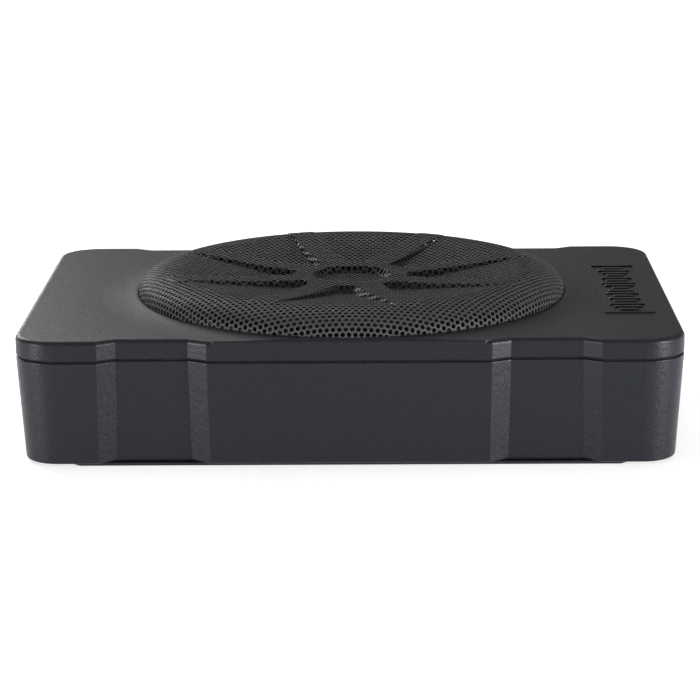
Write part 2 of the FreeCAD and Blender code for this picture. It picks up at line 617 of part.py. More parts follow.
def make_moving_parts():
    """Everything that the voice coil drives, and the two suspensions that carry it."""
    piece("voice_coil_former", tube("former_radius", "former_radius + former_wall",
                                    ("former_bottom", "neck_level - 0.5")))
    piece("voice_coil_winding", tube("former_radius + former_wall", "coil_radius",
                                     ("coil_bottom", "coil_top")))
    rim = "cone_level - cone_sheet"
    neck = "neck_level - 0.5"
    piece("cone", turned([("former_radius", neck), ("former_radius + 2.5", neck), ("cone_radius - 3", rim),
                          ("cone_radius + 1", rim), ("cone_radius + 1", "cone_level"),
                          ("cone_radius - 4", "cone_level"), ("former_radius", f"{neck} + cone_sheet")]))
    foot = ("neck_level + 2.3 + (cap_radius - former_radius)"
            " * (cone_level - neck_level) / (cone_radius - former_radius)")
    piece("dust_cap", turned([("0", f"{foot} + cap_height - 1"), ("cap_radius - 3", f"{foot} - 1.2"),
                              ("cap_radius", f"{foot} - 1.2"), ("cap_radius", f"{foot} - 0.2"),
                              ("cap_radius - 2", f"{foot}"), ("0", f"{foot} + cap_height")]))
    lower = "cone_level"
    upper = "cone_level + roll_sheet"
    piece("surround", turned([("roll_inner - roll_lip", lower),
                              ("roll_inner + roll_sheet", lower, (lower, -1)),
                              ("roll_outer - roll_sheet", lower), ("roll_outer + roll_lip", lower),
                              ("roll_outer + roll_lip", upper), ("roll_outer", upper, (lower, 1)),
                              ("roll_inner", upper), ("roll_inner - roll_lip", upper)]))
    faces = []
    for level in ("spider_level - spider_sheet", "spider_level"):
        waves = wave("former_radius + former_wall + 0.4", "landing_inner - 0.5", level, "spider_wave", 5)
        faces.append(waves + [("spider_radius", level)])
    piece("spider", turned(faces[0] + faces[1][::-1]))
    leads = []
    for side in (-1, 1):
        path = [("-former_radius - 1.2", f"{5 * side}", "neck_level - 1.7"),
                ("-46", f"{5 * side}", "neck_level - 4"),
                ("-60", f"{6 * side}", "neck_level + 2"),
                ("-basket_root - 8.2", f"{6 * side}", "neck_level + 1")]
        leads.append(wire(path, "braid_radius", "braid_bend"))
    piece("tinsel_leads", group(*leads))
    strip = block(("-basket_root - 12", "-basket_root - 5.5"), ("-10", "10"),
                  ("landing_level + 1", "landing_level + 2.5"))
    piece("terminal_strip", strip)


def wire(path, radius, bend_reach):
    """A round wire of straight runs joined by tangent arcs that reach no further than bend_reach."""
    spots = [Vector(*(value(number) for number in spot)) for spot in path]
    edges = []
    start = spots[0]
    for before, corner, after in zip(spots, spots[1:], spots[2:]):
        coming = (corner - before).normalize()
        going = (after - corner).normalize()
        reach = min(value(bend_reach), 0.45 * (corner - before).Length, 0.45 * (after - corner).Length)
        first = corner - coming * reach
        last = corner + going * reach
        half_turn = coming.getAngle(going) / 2
        inward = (going - coming).normalize()
        bend = reach / math.tan(half_turn)
        centre = corner + inward * (reach / math.sin(half_turn))
        edges.append(Part.makeLine(start, first))
        edges.append(Part.Arc(first, centre - inward * bend, last).toShape())
        start = last
    edges.append(Part.makeLine(start, spots[-1]))
    spine = Part.Wire(edges)
    ring = Part.Wire(Part.Circle(spots[0], spots[1] - spots[0], value(radius)).toShape())
    item = add("Part::Feature")
    item.Shape = spine.makePipeShell([ring], True, False)
    return item


# ---- electronics -----------------------------------------------------------------------------

def make_partition():
    """The wall that shuts the electronics off from the air volume, and the leads through it."""
    wall = block(("partition_outer", "partition_inner"), ("-partition_half", "partition_half"),
                 ("tub_bottom + wall + 0.1", "cover_bottom - 0.3"))
    piece("amp_partition", cut(wall, rod("grommet_hole", ("partition_outer - 1", "partition_inner + 1"),
                                         "0", "lead_z", "x")))
    lips = [("partition_outer - grommet_lip", "partition_outer"),
            ("partition_inner", "partition_inner + grommet_lip")]
    sleeve = rod("grommet_hole - 0.1", (lips[0][0], lips[1][1]), "0", "lead_z", "x")
    flanges = [rod("grommet_lip_radius", lip, "0", "lead_z", "x") for lip in lips]
    span = ("partition_outer - 3", "partition_inner + 3")
    holes = [rod("lead_hole", span, f"{side} * lead_y", "lead_z", "x") for side in (-1, 1)]
    piece("wire_grommet", cut(fuse(sleeve, *flanges), *holes))
    wires = []
    for side in (-1, 1):
        path = [("board_high_x - 3", f"{side} * lead_y", "board_top"),
                ("board_high_x - 3", f"{side} * lead_y", "lead_z"), ("-95", f"{side} * lead_y", "lead_z"),
                ("-basket_root - 10", f"{6 * side}", "landing_level + 4.2")]
        wires.append(wire(path, "lead_radius", "lead_bend"))
    piece("speaker_wires", group(*wires))


def make_amplifier():
    """The amplifier board and what stands on it."""
    board = block(("board_low_x", "board_high_x"), ("-board_half", "board_half"),
                  ("board_bottom", "board_top"))
    holes = [rod("small_hole", ("board_bottom - 1", "board_top + 1"), x, y)
             for x, y in board_screw_places()]
    piece("amplifier_board", cut(board, *holes))
    back = "board_high_x - spreader_edge"
    face = f"{back} - spreader_thick"
    spreader = block((face, back), ("-spreader_half", "spreader_half"), ("board_top", "spreader_top"))
    piece("heat_spreader", spreader)
    transistors = []
    for y in (-60, -36, 36, 60):
        side = (f"{y} - transistor_half", f"{y} + transistor_half")
        case = block((f"{face} - transistor_thick", face), side, ("board_top + 4", "board_top + 20"))
        legs = block((f"{face} - 3", f"{face} - 2.2"), (f"{side[0]} + 1", f"{side[1]} - 1"),
                     ("board_top", "board_top + 5"))
        transistors.append(fuse(case, legs))
    piece("power_transistors", group(*transistors))
    can = [("0", "board_top"), ("capacitor_radius", "board_top"),
           ("capacitor_radius", "board_top + capacitor_height - 1"),
           ("capacitor_radius - 1", "board_top + capacitor_height"), ("0", "board_top + capacitor_height")]
    piece("filter_capacitors", group(*[turned(can, "capacitor_x", f"{y}") for y in (-72, -54, -36)]))
    low_flange = "board_top + inductor_flange"
    top = "board_top + inductor_height"
    high_flange = f"{top} - inductor_flange"
    bobbin = [("inductor_bore", "board_top"), ("inductor_radius", "board_top"),
              ("inductor_radius", low_flange), ("inductor_core", low_flange), ("inductor_core", high_flange),
              ("inductor_radius", high_flange), ("inductor_radius", top), ("inductor_bore", top)]
    piece("output_inductors", group(*[turned(bobbin, "inductor_x", f"{y}") for y in (50, 72)]))
    core = ("board_top + coil_skin", "board_top + coil_height - coil_skin")
    piece("transformer_core", tube("coil_bore + coil_skin", "coil_outer - coil_skin", core, "coil_x", "0"))
    coil = tube("coil_bore", "coil_outer", ("board_top", "board_top + coil_height"), "coil_x", "0")
    hollow = tube("coil_bore + coil_skin - 0.1", "coil_outer - coil_skin + 0.1",
                  (f"{core[0]} - 0.1", f"{core[1]} + 0.1"), "coil_x", "0")
    piece("transformer_winding", cut(coil, hollow))
    chips = [block(("chip_low_x", "chip_high_x"), (f"{y} - chip_half", f"{y} + chip_half"),
                   ("board_top", "board_top + chip_height")) for y in (-22, 26, 36)]
    piece("amplifier_chips", group(*chips))


def make_control(label):
    """One rotary control: its pot, nut, shaft and knob. Gives the pot and the nut."""
    y = f"{label}_y"
    centre = (y, "knob_level", "x")
    pot = fuse(block(("panel_back + fit_gap", "pot_back"), (f"{y} - pot_half", f"{y} + pot_half"),
                     ("knob_level - pot_half", "knob_level + pot_half")),
               rod("bushing_radius", ("bushing_end", "pot_back"), *centre))
    pot = cut(pot, rod("shaft_radius + running_gap", ("bushing_end - 1", "pot_back + 1"), *centre))
    nut = cut(rod("nut_radius", ("panel_face - nut_thick", "panel_face"), *centre),
              rod("bushing_radius + 0.1", ("panel_face - 2", "panel_face + 1"), *centre))
    piece(f"{label}_shaft", rod("shaft_radius", ("knob_face + 1.5", "shaft_end"), *centre))
    pointer = block(("knob_face - 1", "knob_face + 0.6"),
                    (f"{y} - knob_pointer / 2", f"{y} + knob_pointer / 2"),
                    ("knob_level", "knob_level + knob_radius + 1"))
    bore = rod("shaft_radius + 0.02", ("knob_face + knob_skin", "knob_back + 1"), *centre)
    piece(f"{label}_knob", cut(rod("knob_radius", ("knob_face", "knob_back"), *centre), bore, pointer))
    return pot, nut


def make_switch(label):
    """One slide switch: its body behind the panel and the lever that moves along Y. Gives the
    slot that the lever needs in the panel."""
    y = f"{label}_y"
    low = f"{y} - slider_half - slider_travel / 2"
    high = f"{y} + slider_half + slider_travel / 2"
    rise = ("switch_level - slider_high", "switch_level + slider_high")
    body = block(("panel_back + fit_gap", "insert_back"), (f"{y} - switch_half", f"{y} + switch_half"),
                 ("switch_level - switch_high", "switch_level + switch_high"))
    slot = block(("panel_back - 1", "slider_back + 0.3"), (f"{low} - fit_gap", f"{high} + fit_gap"),
                 (f"{rise[0]} - fit_gap", f"{rise[1]} + fit_gap"))
    piece(f"{label}_switch", cut(body, slot))
    piece(f"{label}_slider", block(("slider_face", "slider_back"), (low, f"{low} + 2 * slider_half"), rise))
    return block(("panel_face - 1", "panel_back + 1"), (f"{low} - 0.3", f"{high} + 0.3"),
                 (f"{rise[0]} - 0.3", f"{rise[1]} + 0.3"))


def square(label, extra="0"):
    """Spans in Y and Z of a part of the panel that has half sizes, widened by extra."""
    return [(f"{label}_{axis} - {half} - ({extra})", f"{label}_{axis} + {half} + ({extra})")
            for axis, half in (("y", f"{label}_half_y"), ("z", f"{label}_half_z"))]


def make_socket(label, pins):
    """A rectangular socket, hollow and open to the outside. Gives its pins and its window."""
    shell = block(("panel_face - socket_proud", "insert_back"), *square(label))
    hollow = block(("panel_face - socket_proud - 1", "panel_face - socket_proud + socket_depth"),
                   *square(label, "-socket_rim"))
    piece(f"{label}_socket", cut(shell, hollow))
    places = [f"{label}_y + {n - (pins - 1) / 2} * {label}_pin_pitch" for n in range(pins)]
    contacts = [rod(f"{label}_pin_radius", ("panel_face - pin_reach", "panel_face + pin_reach"),
                    place, f"{label}_z", "x") for place in places]
    return contacts, block(("panel_face - 1", "panel_back + 1"), *square(label, "fit_gap"))


def make_jacks():
    """The two phono jacks and their centre contacts. Gives their windows."""
    barrels = []
    contacts = []
    windows = []
    for level in ("jack_high", "jack_low"):
        centre = ("jack_y", level, "x")
        barrel = fuse(rod("jack_radius", ("panel_face - jack_proud", "jack_back"), *centre),
                      rod("jack_flange_radius", ("panel_face - jack_flange", "panel_face"), *centre))
        barrels.append(cut(barrel, rod("jack_bore", ("panel_face - 8", "panel_face + 1"), *centre),
                           rod("contact_radius", ("panel_face", "jack_back + 1"), *centre)))
        contacts.append(cut(rod("contact_radius", ("panel_face - 6", "contact_back"), *centre),
                            rod("contact_bore", ("panel_face - 7", "panel_face"), *centre)))
        windows.append(rod("jack_radius + 0.15", ("panel_face - 1", "panel_back + 1"), *centre))
    piece("phono_jacks", group(*barrels))
    piece("phono_contacts", group(*contacts))
    return windows


def make_lamp():
    """The power lamp. Gives its window."""
    centre = ("lamp_y", "switch_level", "x")
    piece("power_lamp", fuse(rod("lamp_radius", ("panel_face - 1", "contact_back"), *centre),
                             rod("lamp_flange_radius", ("panel_back + fit_gap", "contact_back"), *centre)))
    return rod("lamp_radius + 0.1", ("panel_face - 1", "panel_back + 1"), *centre)


def make_fuse():
    """The blade fuse, and the holder that it pulls out of. Gives the holder's window."""
    holder = block(("panel_face - holder_proud", "insert_back"),
                   ("fuse_y - holder_half_y", "fuse_y + holder_half_y"),
                   ("fuse_z - holder_half_z", "fuse_z + holder_half_z"))
    hollow = block(("panel_face - holder_proud - 1", "panel_face + 0.5"), *square("fuse", "fuse_room"))
    slots = []
    blades = []
    for side in (-1, 1):
        middle = f"fuse_y + {side} * blade_y"
        for made, span, extra in ((slots, ("panel_face", "contact_back"), "0.3"),
                                  (blades, ("panel_face + fit_gap", "blade_back"), "0")):
            wide = f"(blade_half + {extra})"
            thick = f"(blade_half_thick + {extra})"
            made.append(block(span, (f"{middle} - {wide}", f"{middle} + {wide}"),
                              (f"fuse_z - {thick}", f"fuse_z + {thick}")))
    piece("fuse_holder", cut(holder, hollow, *slots))
    head = block(("panel_face - fuse_proud", "panel_face + 0.3"), *square("fuse"))
    piece("blade_fuse", fuse(head, *blades))
    return block(("panel_face - 1", "panel_back + 1"),
                 ("fuse_y - holder_half_y - fit_gap", "fuse_y + holder_half_y + fit_gap"),
                 ("fuse_z - holder_half_z - fit_gap", "fuse_z + holder_half_z + fit_gap"))


def make_panel():
    """The control panel in its recess, and everything that shows through it."""
    controls = ("gain", "crossover", "bass")
    pots, nuts = zip(*[make_control(name) for name in controls])
    piece("control_pots", group(*pots))
    piece("pot_nuts", group(*nuts))
    through = ("panel_face - 1", "panel_back + 1")
    windows = [rod("bushing_radius + 0.1", through, f"{name}_y", "knob_level", "x") for name in controls]
    windows += [make_switch(name) for name in ("phase", "input")]
    pins = []
    for name, count in (("power", 3), ("signal", 3), ("remote", 2)):
        contacts, opening = make_socket(name, count)
        pins += contacts
        windows.append(opening)
    piece("socket_pins", group(*pins))
    windows.append(make_fuse())
    windows += make_jacks()
    windows.append(make_lamp())
    windows += [rod("small_shank + 0.15", through, y, z, "x") for y, z in panel_screw_places()]
    sides = (("-recess_half + 0.3", "recess_half - 0.3"), ("recess_low + 0.3", "recess_high - 0.3"))
    piece("control_panel", cut(block(("panel_face", "panel_back - 0.5"), *sides), *windows))
    opening = block(through, ("-panel_window_half", "panel_window_half"),
                    ("panel_window_low", "panel_window_high"))
    holes = [rod("small_shank + 0.15", through, y, z, "x") for y, z in panel_screw_places()]
    piece("panel_gasket", cut(block(("panel_back - 0.5", "panel_back"), *sides), opening, *holes))


# ---- assembly --------------------------------------------------------------------------------

def write_pieces():
    """Checks the whole document, then writes each piece to its own file."""
    doc.recompute()
    for item in doc.Objects:
        if {"Invalid", "Error"} & set(item.State):
            raise RuntimeError(f"{item.Name} ({item.Label}) failed: {item.State}")
    for item in PIECES:
        if item.Shape.isNull() or not item.Shape.isValid() or not item.Shape.Solids:
            raise RuntimeError(f"{item.Label} has no valid solid")
    os.makedirs("parts", exist_ok=True)
    for item in PIECES:
        item.Shape.exportStep(f"parts/{item.Label}.step")


make_lower_housing()
make_top_cover()
make_cover_gasket()
make_base_plate()
make_screws()
make_grille()
make_motor()
make_basket()
make_moving_parts()
make_partition()
make_amplifier()
make_panel()
write_pieces()
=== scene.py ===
"""Looks of the flat powered car subwoofer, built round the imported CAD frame.

Metres, +Z up, the frame's own axes: -Y is the front, the control panel is at -X and the badge
frame at +X. The shells stay as CAD made them; the grille's perforation, the badge's pattern, the
soft suspensions and the small turned parts are meshes of their own.
"""

import json
import math

import bpy
import numpy as np
from mathutils import Matrix, Vector


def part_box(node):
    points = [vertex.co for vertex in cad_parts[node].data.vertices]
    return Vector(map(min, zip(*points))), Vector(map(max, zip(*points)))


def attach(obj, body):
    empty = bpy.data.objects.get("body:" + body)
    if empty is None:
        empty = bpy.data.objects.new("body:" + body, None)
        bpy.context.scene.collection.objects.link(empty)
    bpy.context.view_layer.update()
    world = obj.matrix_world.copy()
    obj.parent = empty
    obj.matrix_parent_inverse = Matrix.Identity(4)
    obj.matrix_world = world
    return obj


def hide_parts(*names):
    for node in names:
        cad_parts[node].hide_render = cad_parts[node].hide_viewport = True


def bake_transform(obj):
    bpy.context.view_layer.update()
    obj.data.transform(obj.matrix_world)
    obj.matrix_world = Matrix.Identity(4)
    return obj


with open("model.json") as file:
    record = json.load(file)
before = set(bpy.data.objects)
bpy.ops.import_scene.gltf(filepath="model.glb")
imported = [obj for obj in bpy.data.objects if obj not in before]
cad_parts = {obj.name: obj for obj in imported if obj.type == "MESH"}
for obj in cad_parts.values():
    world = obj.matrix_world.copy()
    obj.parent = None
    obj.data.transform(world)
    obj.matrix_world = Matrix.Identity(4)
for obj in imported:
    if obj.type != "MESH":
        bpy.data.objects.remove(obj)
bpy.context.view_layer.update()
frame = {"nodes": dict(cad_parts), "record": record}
MM = 0.001

# Levels that the frame gives; the collar stands a little above the cover's flat top.
GRILLE_LOW, GRILLE_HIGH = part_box("grille")
COLLAR_CREST = 1.4 * MM
COVER_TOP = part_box("top_cover")[1].z - COLLAR_CREST


# ---- camera, floor and light -----------------------------------------------------------------

# Place in metres; yaw, pitch down and roll in radians.
CAMERA_PLACE = (0.01735, -1.41927, 0.38415)
CAMERA_TURNS = (0.013, 0.242, -0.008)
CAMERA_LENS, CAMERA_SENSOR, CAMERA_REACH = 133.1, 36, 30
FLOOR_HALF = 12
SURROUND_COLOUR, SURROUND_STRENGTH = (0.95, 0.97, 1, 1), 0.22

# Name, place, spot aimed at, size in metres and power in watts of each lamp.
LAMPS = (
    ("overhead", (0, 0.6, 2.4), (0, 0, 0), (3.0, 1.6), 14),
    ("left_bank", (-1.15, -0.75, 0.1), (0, -0.1, 0.04), (0.4, 0.16), 17),
    ("right_bank", (1.15, -0.75, 0.1), (0, -0.1, 0.04), (0.4, 0.16), 25),
    ("back_left", (-1.0, 1.6, 0.65), (-0.05, 0, 0.07), (1.0, 0.5), 12),
    ("back_wall", (-0.9, 2.0, 1.85), (0, 0, 0.07), (2.4, 1.4), 22),
)


def make_camera():
    """A long lens, in front and a little above, so that the top face is strongly foreshortened."""
    data = bpy.data.cameras.new("camera")
    data.lens = CAMERA_LENS
    data.sensor_width = CAMERA_SENSOR
    data.clip_end = CAMERA_REACH
    camera = bpy.data.objects.new("camera", data)
    yaw, pitch, roll = CAMERA_TURNS
    ahead = Vector((-math.sin(yaw) * math.cos(pitch), math.cos(yaw) * math.cos(pitch), -math.sin(pitch)))
    level = Vector((math.cos(yaw), math.sin(yaw), 0))
    above = level.cross(ahead)
    right = level * math.cos(roll) + above * math.sin(roll)
    up = above * math.cos(roll) - level * math.sin(roll)
    turn = Matrix((right, up, -ahead)).transposed()
    camera.matrix_world = Matrix.Translation(CAMERA_PLACE) @ turn.to_4x4()
    bpy.context.scene.collection.objects.link(camera)
    bpy.context.scene.camera = camera


def make_light(name, place, aim, size, power):
    """A soft rectangular lamp that points at a spot."""
    data = bpy.data.lights.new(name, "AREA")
    data.shape = "RECTANGLE"
    data.size, data.size_y = size
    data.energy = power
    lamp = bpy.data.objects.new(name, data)
    lamp.location = place
    lamp.rotation_mode = "QUATERNION"
    lamp.rotation_quaternion = (Vector(aim) - Vector(place)).to_track_quat("-Z", "Y")
    bpy.context.scene.collection.objects.link(lamp)


def make_stage():
    """A pale floor, an even pale surround and soft lamps."""
    floor_mesh = bpy.data.meshes.new("floor")
    corners = [(x * FLOOR_HALF, y * FLOOR_HALF, 0) for x, y in ((-1, -1), (1, -1), (1, 1), (-1, 1))]
    floor_mesh.from_pydata(corners, [], [(0, 1, 2, 3)])
    floor = bpy.data.objects.new("floor", floor_mesh)
    bpy.context.scene.collection.objects.link(floor)
    floor_mesh.materials.append(floor_material())
    world = bpy.data.worlds.new("surround")
    world.use_nodes = True
    background = world.node_tree.nodes["Background"]
    background.inputs["Color"].default_value = SURROUND_COLOUR
    background.inputs["Strength"].default_value = SURROUND_STRENGTH
    bpy.context.scene.world = world
    for lamp in LAMPS:
        make_light(*lamp)
    view = bpy.context.scene.view_settings
    view.view_transform = "Standard"
    view.look = "None"


# ---- materials -------------------------------------------------------------------------------

class Shader:
    """A Principled material under construction, with short calls for the nodes used here."""

    def __init__(self, name, roughness=0.5, metallic=0.0, **constants):
        self.material = bpy.data.materials.new(name)
        self.material.use_nodes = True
        self.tree = self.material.node_tree
        self.surface = self.tree.nodes["Principled BSDF"]
        self.surface.inputs["Roughness"].default_value = roughness
        self.surface.inputs["Metallic"].default_value = metallic
        for socket, number in constants.items():
            self.surface.inputs[socket.replace("_", " ")].default_value = number
        self.place = self.node("ShaderNodeTexCoord").outputs["Object"]

    def node(self, kind, **settings):
        made = self.tree.nodes.new(kind)
        for key, setting in settings.items():
            setattr(made, key, setting)
        return made

    def link(self, source, target):
        self.tree.links.new(source, target)

    def noise(self, scale, detail=3.0, roughness=0.55):
        """Noise from 0 to 1; scale is features per metre."""
        made = self.node("ShaderNodeTexNoise")
        made.inputs["Scale"].default_value = scale
        made.inputs["Detail"].default_value = detail
        made.inputs["Roughness"].default_value = roughness
        self.link(self.place, made.inputs["Vector"])
        return made.outputs["Fac"]

    def cells(self, scale, feature="F1"):
        """Voronoi distance; scale is cells per metre."""
        made = self.node("ShaderNodeTexVoronoi", feature=feature)
        made.inputs["Scale"].default_value = scale
        self.link(self.place, made.inputs["Vector"])
        return made.outputs["Distance"]

    def spread(self, source, low, high, out_low=0.0, out_high=1.0):
        """Maps a value's range onto another, clamped."""
        made = self.node("ShaderNodeMapRange")
        for index, number in enumerate((low, high, out_low, out_high), start=1):
            made.inputs[index].default_value = number
        self.link(source, made.inputs[0])
        return made.outputs[0]

    def mix(self, factor, first, second):
        """A colour between two, each a colour or a socket."""
        made = self.node("ShaderNodeMix", data_type="RGBA")
        self.link(factor, made.inputs[0])
        for socket, colour in ((made.inputs[6], first), (made.inputs[7], second)):
            if isinstance(colour, tuple):
                socket.default_value = (*colour, 1)
            else:
                self.link(colour, socket)
        return made.outputs[2]

    def colour(self, source):
        self.link(source, self.surface.inputs["Base Color"])

    def rough(self, source, low, high):
        self.link(self.spread(source, 0.3, 0.7, low, high), self.surface.inputs["Roughness"])

    def bumps(self, *layers):
        """Bump layers, each (height socket, depth in metres)."""
        normal = None
        for source, depth in layers:
            made = self.node("ShaderNodeBump")
            made.inputs["Strength"].default_value = 1.0
            made.inputs["Distance"].default_value = depth
            self.link(source, made.inputs["Height"])
            if normal is not None:
                self.link(normal, made.inputs["Normal"])
            normal = made.outputs["Normal"]
        self.link(normal, self.surface.inputs["Normal"])


def shade(colour, factor):
    """A colour made lighter or darker."""
    return tuple(min(1.0, channel * factor) for channel in colour)


def floor_material():
    """Matte white card, with the faintest mottling."""
    s = Shader("floor_card", roughness=0.9, Specular_IOR_Level=0.1, Emission_Color=(1, 1, 1, 1),
               Emission_Strength=0.62)
    s.colour(s.mix(s.noise(3), (0.86, 0.86, 0.86), (0.88, 0.88, 0.88)))
    return s.material


def moulded(name, colour, roughness, grain=1.0, shine=0.25):
    """Textured black moulding: fine spark-eroded grain, pale specks and slow colour drift."""
    s = Shader(name, roughness=roughness, Specular_IOR_Level=shine,
               Specular_Tint=(0.90, 0.93, 1.0, 1.0))
    speck = s.spread(s.noise(1900, 2, 0.6), 0.53, 0.75)
    drift = s.mix(s.spread(s.noise(9, 3), 0.3, 0.7), shade(colour, 0.93), shade(colour, 1.08))
    patch = s.mix(s.spread(s.noise(520, 4, 0.7), 0.35, 0.65), drift, shade(colour, 1.35))
    s.colour(s.mix(speck, patch, shade(colour, 2.4)))
    s.rough(s.noise(650, 4, 0.7), roughness - 0.12, roughness + 0.12)
    s.bumps((s.noise(420, 3, 0.6), 0.00012 * grain), (s.noise(1100, 4, 0.7), 0.00008 * grain))
    return s.material


def powder_coat(name, colour, roughness, shine=0.5):
    """Powder coat on steel: a pebbled skin of slightly uneven gloss."""
    s = Shader(name, roughness=roughness, Specular_IOR_Level=shine)
    pebble = s.cells(1400, "SMOOTH_F1")
    s.colour(s.mix(s.spread(s.noise(700, 3), 0.35, 0.65), shade(colour, 0.85), shade(colour, 1.25)))
    s.rough(s.noise(250, 3), roughness - 0.07, roughness + 0.08)
    s.bumps((pebble, 0.00005), (s.noise(2600, 2), 0.00002))
    return s.material


def soft_rubber(name, colour, roughness):
    """Matte rubber or foam with a dusty, mottled surface."""
    s = Shader(name, roughness=roughness, Specular_IOR_Level=0.3)
    s.colour(s.mix(s.spread(s.noise(90, 4), 0.3, 0.7), shade(colour, 0.8), shade(colour, 1.6)))
    s.rough(s.noise(200, 2), roughness - 0.1, roughness + 0.1)
    s.bumps((s.noise(1800, 3), 0.00005), (s.cells(700), 0.00003))
    return s.material


def bare_metal(name, colour, roughness, grain=(30, 900, 900)):
    """Metal with a drawn grain along one axis, where its scale is low, and faint stains."""
    s = Shader(name, roughness=roughness, metallic=1.0)
    stretch = s.node("ShaderNodeMapping")
    stretch.inputs["Scale"].default_value = grain
    s.link(s.place, stretch.inputs["Vector"])
    lines = s.node("ShaderNodeTexNoise")
    lines.inputs["Scale"].default_value = 1.0
    lines.inputs["Detail"].default_value = 4
    s.link(stretch.outputs["Vector"], lines.inputs["Vector"])
    s.colour(s.mix(s.spread(s.noise(40, 3), 0.3, 0.7), shade(colour, 0.85), colour))
    s.rough(lines.outputs["Fac"], roughness - 0.08, roughness + 0.12)
    s.bumps((lines.outputs["Fac"], 0.00002))
    return s.material


def gloss_moulding(name, colour, roughness):
    """Smooth hard plastic with slight waviness and handling marks."""
    s = Shader(name, roughness=roughness, Specular_IOR_Level=0.5)
    s.colour(s.mix(s.spread(s.noise(60, 3), 0.35, 0.65), shade(colour, 0.85), shade(colour, 1.2)))
    s.rough(s.noise(400, 5, 0.7), roughness - 0.08, roughness + 0.14)
    s.bumps((s.noise(120, 2), 0.00003), (s.noise(1500, 2), 0.00001))
    return s.material


THREADS_PER_SCALE = 6.3


def woven(name, colour, roughness, threads_per_metre):
    """Cloth or pressed pulp: two crossed sets of threads over a fibrous mottling."""
    s = Shader(name, roughness=roughness, Specular_IOR_Level=0.25)
    threads = []
    for direction in ("X", "Y"):
        wave = s.node("ShaderNodeTexWave", wave_type="BANDS", bands_direction=direction)
        wave.inputs["Scale"].default_value = threads_per_metre / THREADS_PER_SCALE
        wave.inputs["Distortion"].default_value = 0.6
        s.link(s.place, wave.inputs["Vector"])
        threads.append(wave.outputs["Fac"])
    s.colour(s.mix(s.spread(s.noise(500, 5, 0.7), 0.35, 0.65), shade(colour, 0.75), shade(colour, 1.35)))
    s.rough(s.noise(300, 3), roughness - 0.08, roughness + 0.08)
    s.bumps((threads[0], 0.00004), (threads[1], 0.00004), (s.noise(1500, 3), 0.00005))
    return s.material


def wound_copper(name):
    """Enamelled winding wire, laid turn by turn."""
    s = Shader(name, roughness=0.32, metallic=1.0)
    turns = s.node("ShaderNodeTexWave", wave_type="BANDS", bands_direction="Z")
    turns.inputs["Scale"].default_value = 320
    s.link(s.place, turns.inputs["Vector"])
    s.colour(s.mix(s.spread(s.noise(200, 3), 0.3, 0.7), (0.50, 0.20, 0.08), (0.78, 0.36, 0.17)))
    s.rough(s.noise(500, 3), 0.25, 0.4)
    s.bumps((turns.outputs["Fac"], 0.0001), (s.noise(900, 2), 0.00002))
    return s.material


def circuit_board(name):
    """Green solder mask with a faint web of tracks under it."""
    s = Shader(name, roughness=0.35, Specular_IOR_Level=0.5, Coat_Weight=0.4, Coat_Roughness=0.2)
    tracks = s.spread(s.cells(260, "DISTANCE_TO_EDGE"), 0.03, 0.06)
    s.colour(s.mix(tracks, (0.03, 0.16, 0.07), (0.012, 0.075, 0.035)))
    s.rough(s.noise(300, 3), 0.3, 0.45)
    s.bumps((tracks, 0.00004), (s.noise(800, 2), 0.00001))
    return s.material


def lens(name, colour):
    """A small tinted lens."""
    s = Shader(name, roughness=0.15, Transmission_Weight=0.35, IOR=1.5)
    s.colour(s.mix(s.spread(s.noise(800, 3), 0.3, 0.7), shade(colour, 0.7), colour))
    s.bumps((s.noise(600, 2), 0.00002))
    return s.material


